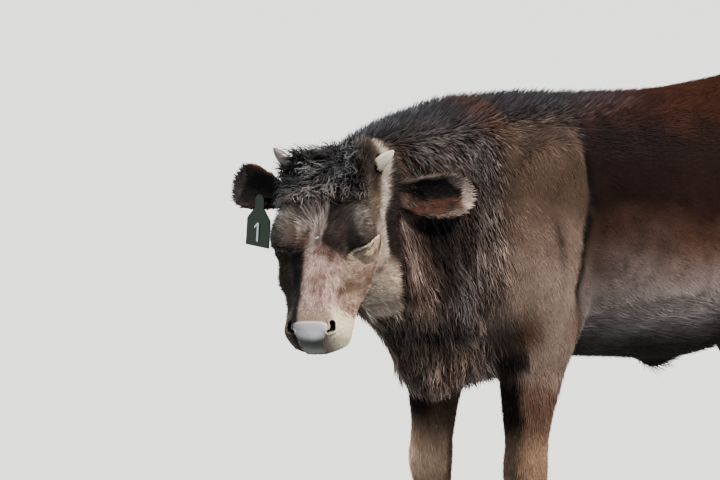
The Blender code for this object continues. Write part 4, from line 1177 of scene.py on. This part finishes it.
def tuft_mesh(name, roots, fields, colours, style, uv, rng):
    """Every tuft of a piece as a closed, three-sided, tapering blade."""
    rings, curl = style["rings"], style.get("curl")
    steps = np.linspace(0, 1, rings + 1)
    line, across = centrelines(roots, fields, steps, curl, style.get("ragged", RAGGED), rng)
    clump = clumped(line, roots, steps, style["clump"], style["every"])
    count = roots.count
    taper = np.interp(steps[:-1], (0.0, 0.25, 0.6, 1.0), (0.75, 1.0, 0.75, 0.1))
    width = fields["width"] * (0.7 + 0.6 * rng.random(count))
    per_tuft = rings * 3 + 1
    points = np.empty((count, per_tuft, 3))
    normals = np.empty((count, per_tuft, 3))
    tone = np.empty((count, per_tuft))
    patch = np.empty((per_tuft, 2))
    for k in range(rings):
        tangent = unit(line[:, min(k + 1, rings)] - line[:, max(k - 1, 0)])
        side = unit(np.cross(roots.normal, tangent) + across * 0.05)
        out = unit(np.cross(tangent, side))
        half = (width * taper[k] / 2)[:, None]
        for corner, (a, b) in enumerate(BLADE):
            at = k * 3 + corner
            points[:, at] = line[:, k] + side * half * a + out * half * b
            normals[:, at] = unit(out * 0.75 + roots.normal * 0.55 + side * a * 0.75)
            tone[:, at] = steps[k]
            patch[at] = (0.5 + 0.5 * a, steps[k])
    points[:, -1] = line[:, -1]
    normals[:, -1] = normals[:, -2]
    tone[:, -1] = 1.0
    patch[-1] = (0.5, 1.0)
    faces = tuft_faces(rings)[None] + (np.arange(count) * per_tuft)[:, None, None]
    obj = make_mesh(name, points.reshape(-1, 3), faces.reshape(-1, 3))
    low, high = style["tones"]
    shade = (low + (high - low) * tone ** 1.2)[:, :, None]
    variety = np.exp(style["variety"] * rng.standard_normal(count))
    group = np.exp(style["group"] * rng.standard_normal(int(clump.max()) + 1))[clump]
    rgb = colours[:, None, :] * shade * (variety * group)[:, None, None]
    paint(obj, rgb.reshape(-1, 3))
    spread = (uv[:, None, :] + 0.003 * (patch[None] - 0.5)).reshape(-1, 2)
    layer = obj.data.uv_layers.new(name="OFBake")
    layer.uv.foreach_set("vector", spread[faces.ravel()].astype(np.float32).ravel())
    obj.data.normals_split_custom_set_from_vertices(normals.reshape(-1, 3).tolist())
    return obj


def paint(obj, rgb):
    layer = obj.data.color_attributes.new("hair", "FLOAT_COLOR", "POINT")
    colour = np.ones((len(rgb), 4), np.float32)
    colour[:, :3] = np.clip(rgb, 0, 1)
    layer.data.foreach_set("color", colour.ravel())


def fitted(uv):
    """Coordinates spread over the whole map, with a margin."""
    low, high = uv.min(0), uv.max(0)
    return 0.004 + 0.992 * (uv - low) / np.maximum(high - low, 1e-6)


def unwrap_round(points, axis_point, axis, reference):
    """Angle about an axis and place along it."""
    axis = unit(np.array(axis, float))
    reference = unit(np.array(reference, float) - axis * np.dot(reference, axis))
    third = np.cross(axis, reference)
    place = points - np.array(axis_point)
    angle = np.arctan2(place @ third, place @ reference) / (2 * math.pi) + 0.5
    return np.stack([place @ axis, angle], axis=1)


def charts(points, owner, plans):
    """Side by side strips of a map, one for each owner of points."""
    uv = np.zeros((len(points), 2))
    names = list(plans)
    for k, name in enumerate(names):
        mine = owner == name
        if mine.any():
            strip = fitted(plans[name](points[mine]))
            uv[mine] = strip * (1.0, 0.98 / len(names)) + (0.0, k / len(names))
    return uv


def unwrap_ears(roots, points, owner):
    """A strip for the front and one for the back of each ear."""
    plans, group = {}, np.zeros(len(points), int)
    for k, (column, side) in enumerate(EAR_SIDES):
        along, across, facing, _ = EAR_FRAMES[side]
        inside = roots.normal @ facing > 0
        group = np.where(owner == column, 2 * k + inside, group)
        plans[2 * k] = plans[2 * k + 1] = lambda p, u=along, v=across: np.stack([p @ u, p @ v], axis=1)
    return charts(points, group, plans)


def unwrap(kind, roots, skin):
    """A map of the skin's own shape, for the places where this piece's tufts grow."""
    points = roots.place - SHIFT
    owner = roots.read(skin.weights).argmax(axis=1)
    if kind == "head":
        return fitted(unwrap_round(in_head(roots.place), (0, 0, -0.06), (0, -1, 0), (0, 0, -1)))
    if kind == "ears":
        return unwrap_ears(roots, points, owner)
    if kind == "legs":
        plans = {}
        nearest_leg = np.clip(owner, FORE_LEFT, HIND_RIGHT)
        for leg in np.unique(nearest_leg):
            mine = points[owner == leg]
            middle = mine.mean(0) if len(mine) else np.zeros(3)
            plans[leg] = lambda p, m=middle: unwrap_round(p, m, (0, 0, -1), (0, 1, 0))
        return charts(points, nearest_leg, plans)
    if kind == "tail":
        return fitted(unwrap_round(points, points.mean(0), (0, 0, -1), (0, 1, 0)))
    return fitted(unwrap_round(points, (0.02, 0, 0.76), (0, 1, 0), (0, 0, -1)))


# ---------------------------------------------------------------- coat pieces

STRAIGHT = {"rings": 1, "clump": 0.25, "every": 9, "tones": (0.75, 1.15), "variety": 0.22, "group": 0.14}
FACE = {"rings": 1, "clump": 0.35, "every": 9, "tones": (0.58, 1.35), "variety": 0.30, "group": 0.24}
BODY = {"rings": 1, "clump": 0.15, "every": 12, "tones": (0.72, 1.20), "variety": 0.20, "group": 0.10}
SOFT = {"rings": 2, "clump": 0.25, "every": 12, "tones": (0.70, 1.25), "variety": 0.22, "group": 0.14}
LONG = {"rings": 4, "clump": 0.45, "every": 12, "tones": (0.50, 1.70), "variety": 0.34, "group": 0.34}
STANDING = {
    "rings": 2, "clump": 0.35, "every": 9, "tones": (0.70, 1.35), "variety": 0.30, "group": 0.20,
    "ragged": 0.35,
}
CURLY = {
    "rings": 5, "clump": 0.55, "every": 12, "tones": (0.50, 1.8), "variety": 0.25, "group": 0.25,
    "curl": (0.0070, 0.90), "ragged": 0.35,
}


def coat_plan(skin, table):
    """Name, chosen skin triangles, style and kind of map of each coat piece."""
    def face_mean(values):
        return values[skin.triangles].mean(axis=1)

    owner = skin.weights[skin.triangles].mean(axis=1).argmax(axis=1)
    c = skin.c[skin.triangles].mean(axis=1)
    left = c[:, 0] > 0.02 * ramp(c[:, 1], -0.5, -0.8)
    mop = face_mean(table["mop"]) > 0.45
    crest = face_mean(table["crest"]) > 0.42
    long = (face_mean(table["long"]) + face_mean(table["brisket"]) > 0.5) & ~crest
    body = np.isin(owner, (NECK, TRUNK))
    smooth = body & ~long & ~crest
    low = c[:, 2] < 0.62
    rear = c[:, 1] > 0.14
    return (
        ("coat_poll", (owner == HEAD) & mop, CURLY, "head"),
        ("coat_face", (owner == HEAD) & ~mop, FACE, "head"),
        ("coat_ears", np.isin(owner, (EAR_LEFT, EAR_RIGHT)), SOFT, "ears"),
        ("coat_neck_left", body & long & left, LONG, "body"),
        ("coat_neck_right", body & long & ~left, LONG, "body"),
        ("coat_crest", body & crest, STANDING, "body"),
        ("coat_shoulder_left", smooth & left & ~low & ~rear, BODY, "body"),
        ("coat_shoulder_right", smooth & ~left & ~low & ~rear, BODY, "body"),
        ("coat_haunch_left", smooth & left & ~low & rear, BODY, "body"),
        ("coat_haunch_right", smooth & ~left & ~low & rear, BODY, "body"),
        ("coat_belly", smooth & low, BODY, "body"),
        ("coat_forelegs", np.isin(owner, (FORE_LEFT, FORE_RIGHT)), STRAIGHT, "legs"),
        ("coat_hindlegs", np.isin(owner, (HIND_LEFT, HIND_RIGHT)), STRAIGHT, "legs"),
        ("coat_tail", np.isin(owner, (TAIL, SWITCH)), LONG, "tail"),
    )


def lying_colour(skin, table):
    """The colour of the skin under the middle of a tuft, at the skin point that it is rooted in."""
    flow = unit(along_skin(table["flow"], skin.normals))
    aims = skin.c + flow * (0.5 * table["length"])[:, None]
    return table["colour"][nearest_of(skin.c, aims)]


def gloss_share(skin, part):
    """How many of the tufts shine, at every skin point."""
    y, z = skin.c[:, 1], skin.c[:, 2]
    share = np.zeros(len(y))
    low = part["body"] * ramp(z, 0.74, 0.66) * ramp(z, 0.55, 0.60)
    blade = part["body"] * ramp(y, -0.475, -0.445) * ramp(y - blade_edge(z), 0.004, -0.004)
    rows = (
        (low, 0.35), (blade, 0.10), (part["long"], 0.35), (part["legs"], 0.12), (part["head"], 0.12),
        (part["forehead"], 0.45), (part["ruff"], 0.2), (ramp(part["crest"], 0.5, 1.0), 0.25),
        (part["mop"], 0.80), (part["switch"], 0.4),
    )
    for weight, value in rows:
        weight = np.clip(weight, 0, 1)
        share = share * (1 - weight) + value * weight
    return share


def build_coat(skin, table, materials):
    rng = np.random.default_rng(SEED)
    thin = 1.0
    for name, chosen, style, kind in coat_plan(skin, table):
        wanted = tufts_wanted(skin, table, chosen)
        count = int(int(wanted.sum()) * thin)
        roots = Roots(skin, wanted, count, rng)
        fields = {key: roots.read(table[key]) for key in FIELDS}
        fields["width"] = fields["width"] / math.sqrt(thin)
        fields["flow"] = unit(along_skin(roots.read(table["flow"]), roots.normal))
        colours = roots.read(table["lying_colour"])
        obj = tuft_mesh(name, roots, fields, colours, style, unwrap(kind, roots, skin), rng)
        for material in materials:
            obj.data.materials.append(material)
        shines = rng.random(count) < roots.read(table["gloss"])
        per_tuft = len(obj.data.polygons) // count
        obj.data.polygons.foreach_set("material_index", np.repeat(shines, per_tuft).astype(np.int32))
        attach(obj, "root")


# ---------------------------------------------------------------- materials

def principled(name, rgb=None, **values):
    """A material of one colour, or of the colours painted on the mesh where none is given."""
    material = bpy.data.materials.new(name)
    material.use_nodes = True
    tree = material.node_tree
    shader = tree.nodes["Principled BSDF"]
    for key, value in values.items():
        shader.inputs[key.replace("_", " ")].default_value = value
    if rgb:
        shader.inputs["Base Color"].default_value = (*rgb, 1)
        return material
    hair = tree.nodes.new("ShaderNodeAttribute")
    hair.attribute_name = "hair"
    tree.links.new(hair.outputs["Color"], shader.inputs["Base Color"])
    return material


def hair_material(name, roughness, gloss):
    return principled(name, Roughness=roughness, Specular_IOR_Level=gloss)


def noise_bump(material, texture, scale, distance, strength, stretch=(1, 1, 1)):
    """A fine relief from a noise or a Voronoi texture in the object's own coordinates."""
    tree = material.node_tree
    where, squeeze, pattern, relief = (
        tree.nodes.new(f"ShaderNode{kind}") for kind in ("TexCoord", "Mapping", texture, "Bump")
    )
    squeeze.inputs["Scale"].default_value = stretch
    pattern.inputs["Scale"].default_value = scale
    if texture == "TexNoise":
        pattern.inputs["Detail"].default_value = 3.0
    relief.inputs["Distance"].default_value = distance
    relief.inputs["Strength"].default_value = strength
    height = pattern.outputs["Fac" if texture == "TexNoise" else "Distance"]
    shader = tree.nodes["Principled BSDF"]
    tree.links.new(where.outputs["Object"], squeeze.inputs["Vector"])
    tree.links.new(squeeze.outputs["Vector"], pattern.inputs["Vector"])
    tree.links.new(height, relief.inputs["Height"])
    tree.links.new(relief.outputs["Normal"], shader.inputs["Normal"])
    return material


def skin_material():
    hide = principled("skin_hide", Roughness=0.70, Specular_IOR_Level=0.04)
    return noise_bump(hide, "TexNoise", 420, 0.0008, 0.8)


def wet_material():
    coat = {"Coat_Weight": 0.10, "Coat_Roughness": 0.15}
    nose = principled("skin_nose", Roughness=0.38, Specular_IOR_Level=0.35, **coat)
    return noise_bump(nose, "TexVoronoi", 330, 0.0006, 0.5)


def horn_material(name, rgb):
    return noise_bump(principled(name, rgb, Roughness=0.42), "TexNoise", 60, 0.0010, 0.5, (1, 1, 5))


def claw_material():
    claw = principled("claw", (0.035, 0.030, 0.027), Roughness=0.45)
    return noise_bump(claw, "TexNoise", 12, 0.0015, 0.6, (1, 1, 14))


def eye_material():
    return principled("eye", Roughness=0.10, Coat_Weight=1.0, Coat_Roughness=0.03)


# ---------------------------------------------------------------- eyes, horns, claws, tag

def build_eye(name, side, material):
    """A glossy ball with a dark brown iris and a level oval pupil."""
    centre, along, up, facing = eye_frame(side)
    rows, columns = 40, 64
    polar = np.linspace(0, math.pi, rows + 1)[1:-1]
    turn = np.linspace(0, 2 * math.pi, columns, endpoint=False)
    polar, turn = np.meshgrid(polar, turn, indexing="ij")
    local = np.stack([np.sin(polar) * np.cos(turn), np.sin(polar) * np.sin(turn), np.cos(polar)], axis=-1)
    local = np.concatenate([local.reshape(-1, 3), [(0, 0, 1), (0, 0, -1)]])
    ball = local[:, :1] * along + local[:, 1:2] * up + local[:, 2:] * facing
    radius = EYE_RADIUS * (1 + 0.035 * ramp(local[:, 2], 0.72, 0.95))[:, None]
    world = out_of_head(centre + ball * radius) + np.array(HEAD_PLACE) + SHIFT
    index = np.arange((rows - 1) * columns).reshape(rows - 1, columns)
    after = np.roll(index, -1, axis=1)
    sides = np.stack([index[:-1], index[1:], after[1:], after[:-1]], axis=-1).reshape(-1, 4)
    sides = np.concatenate([sides[:, (0, 1, 2)], sides[:, (0, 2, 3)]])
    top, bottom = index.size, index.size + 1
    caps = [np.stack([index[0], after[0], np.full(columns, top)], axis=1)]
    caps.append(np.stack([after[-1], index[-1], np.full(columns, bottom)], axis=1))
    obj = make_mesh(f"eyeball_{name}", world, np.concatenate([sides] + caps))
    rim = np.hypot(local[:, 0], local[:, 1])
    pupil = np.hypot(local[:, 0] / 0.42, local[:, 1] / 0.24)
    paint(obj, layered(np.tile((0.035, 0.024, 0.020), (len(local), 1)), (
        ((0.022, 0.012, 0.009), ramp(rim, 0.72, 0.64) * (local[:, 2] > 0)),
        ((0.003, 0.003, 0.005), ramp(pupil, 1.1, 0.9) * (local[:, 2] > 0)),
    )))
    obj.data.materials.append(material)
    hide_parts(f"eye_{name}")
    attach(obj, "root")


def dress_nodes(nodes):
    """Materials and rounding for the nodes that are shown as they are."""
    claw = claw_material()
    green = principled("tag_green", (0.004, 0.018, 0.006), Roughness=0.45)
    dress = {
        "horn_left": horn_material("horn", (0.56, 0.50, 0.38)),
        # the right horn is the same horn, painted darker as painted shade
        "horn_right": horn_material("horn_painted_shade", (0.20, 0.17, 0.15)),
        "claw": claw,
        "dewclaw": claw,
        "ear_tag_panel": green,
        "ear_tag_stud": green,
        "ear_tag_digit": principled("tag_white", (0.78, 0.80, 0.76), Roughness=0.5),
    }
    for name, obj in nodes.items():
        for start, material in dress.items():
            if name.startswith(start):
                obj.data.materials.clear()
                obj.data.materials.append(material)
        if name.startswith(("horn", "claw", "dewclaw")):
            weld = obj.modifiers.new("weld", "WELD")
            weld.merge_threshold = 1e-5
            obj.data.polygons.foreach_set("use_smooth", [True] * len(obj.data.polygons))
        if name.startswith(("horn", "claw")):
            rounded = obj.modifiers.new("round", "SUBSURF")
            rounded.levels = rounded.render_levels = 2


def build_skin_object(skin, table):
    """The skin in its coat's colours, painted darker under the hair as painted shade, and wet on the nose
    and in the nostrils.
    """
    obj = make_mesh("skin", skin.points, skin.triangles)
    paint(obj, table["colour"] * np.where(table["bare"] > 0.5, 1.0, UNDERCOAT_SHADE)[:, None])
    obj.data.materials.append(skin_material())
    obj.data.materials.append(wet_material())
    wet = (ramp(pad_share(skin.q), 1.06, 0.98) * table["head"])[skin.triangles].mean(axis=1) > 0.5
    inner = nostril_distance(skin.q)[skin.triangles].mean(axis=1) < 1.3
    obj.data.polygons.foreach_set("material_index", (wet | inner).astype(np.int32))
    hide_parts(*FLESH)
    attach(obj, "root")


# ---------------------------------------------------------------- studio

def build_floor():
    corners = np.array([(-1, -1, 0), (1, -1, 0), (1, 1, 0), (-1, 1, 0)], float)
    floor = make_mesh("floor", corners * FLOOR_REACH, np.array([(0, 1, 2, 3)]), smooth=False)
    floor.data.materials.append(principled("floor_pale", (0.62, 0.62, 0.60), Roughness=0.85))
    floor.visible_diffuse = False


def sun_light(name, azimuth, elevation, angle, strength, colour):
    a, e = math.radians(azimuth), math.radians(elevation)
    back = Vector((math.sin(a) * math.cos(e), -math.cos(a) * math.cos(e), math.sin(e)))
    light = bpy.data.lights.new(name, "SUN")
    light.angle = math.radians(angle)
    light.energy = strength
    light.color = colour
    obj = bpy.data.objects.new(name, light)
    bpy.context.scene.collection.objects.link(obj)
    obj.location = Vector((0, 0, 1)) + back * 4
    obj.rotation_euler = back.to_track_quat("Z", "Y").to_euler()


def build_lights():
    """A broad soft key from the calf's left, a weak one from its right, and a pale blue sky."""
    world = bpy.data.worlds.new("studio")
    bpy.context.scene.world = world
    world.use_nodes = True
    ground = world.node_tree.nodes["Background"]
    ground.inputs["Color"].default_value = (0.80, 0.90, 1.0, 1)
    ground.inputs["Strength"].default_value = 0.62
    sun_light("key", 104, 46, 11, 6.4, (1.0, 0.95, 0.88))
    sun_light("back", 285, 38, 25, 2.2, (0.90, 0.95, 1.0))


def build_camera():
    """Six metres off, on the calf's left front, a little above its back."""
    azimuth, distance, height = math.radians(48.0), 6.0, 1.3
    aim = Vector((0.0, -0.38 + SHIFT[1], 0.0))
    across = math.radians(2.207)      # the calf's feet stand right of the middle of the frame
    down = math.radians(5.285)
    camera = bpy.data.cameras.new("camera")
    camera.sensor_width = 36.0
    camera.lens = 162.15
    camera.clip_end = 200.0
    obj = bpy.data.objects.new("camera", camera)
    bpy.context.scene.collection.objects.link(obj)
    back = Vector((math.sin(azimuth), -math.cos(azimuth), 0.0))
    obj.location = aim + back * distance + Vector((0, 0, height))
    obj.rotation_euler = (math.radians(90) - down, 0, azimuth + across)
    bpy.context.scene.camera = obj


# ---------------------------------------------------------------- the whole

for left_over in list(bpy.data.objects):
    bpy.data.objects.remove(left_over, do_unlink=True)
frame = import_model()
NODES = frame["nodes"]
SHIFT = frame_shift(NODES)
HEAD_MIDDLE = np.array(head_matrix() @ Vector((0, -0.12, -0.06))) + SHIFT
EAR_FRAMES = ear_frames(NODES)

SKIN = build_skin(NODES)
TABLE = coat_fields(SKIN)
TABLE["density"] = sum((more * TABLE[name] for name, more in EXTRA_LAYERS.items()), LAYERS)
TABLE["flow"] = flow_field(SKIN, TABLE)
TABLE["colour"] = markings(SKIN, TABLE)
build_skin_object(SKIN, TABLE)
TABLE["lying_colour"] = lying_colour(SKIN, TABLE)
TABLE["gloss"] = gloss_share(SKIN, TABLE)
build_coat(SKIN, TABLE, (hair_material("coat_hair", 0.60, 0.06), hair_material("coat_gloss", 0.48, 0.38)))
for eye_name, eye_side in SIDES.items():
    build_eye(eye_name, eye_side, eye_material())
dress_nodes(NODES)
build_floor()
build_lights()
build_camera()

bpy.context.scene.view_settings.look = "AgX - Medium High Contrast"
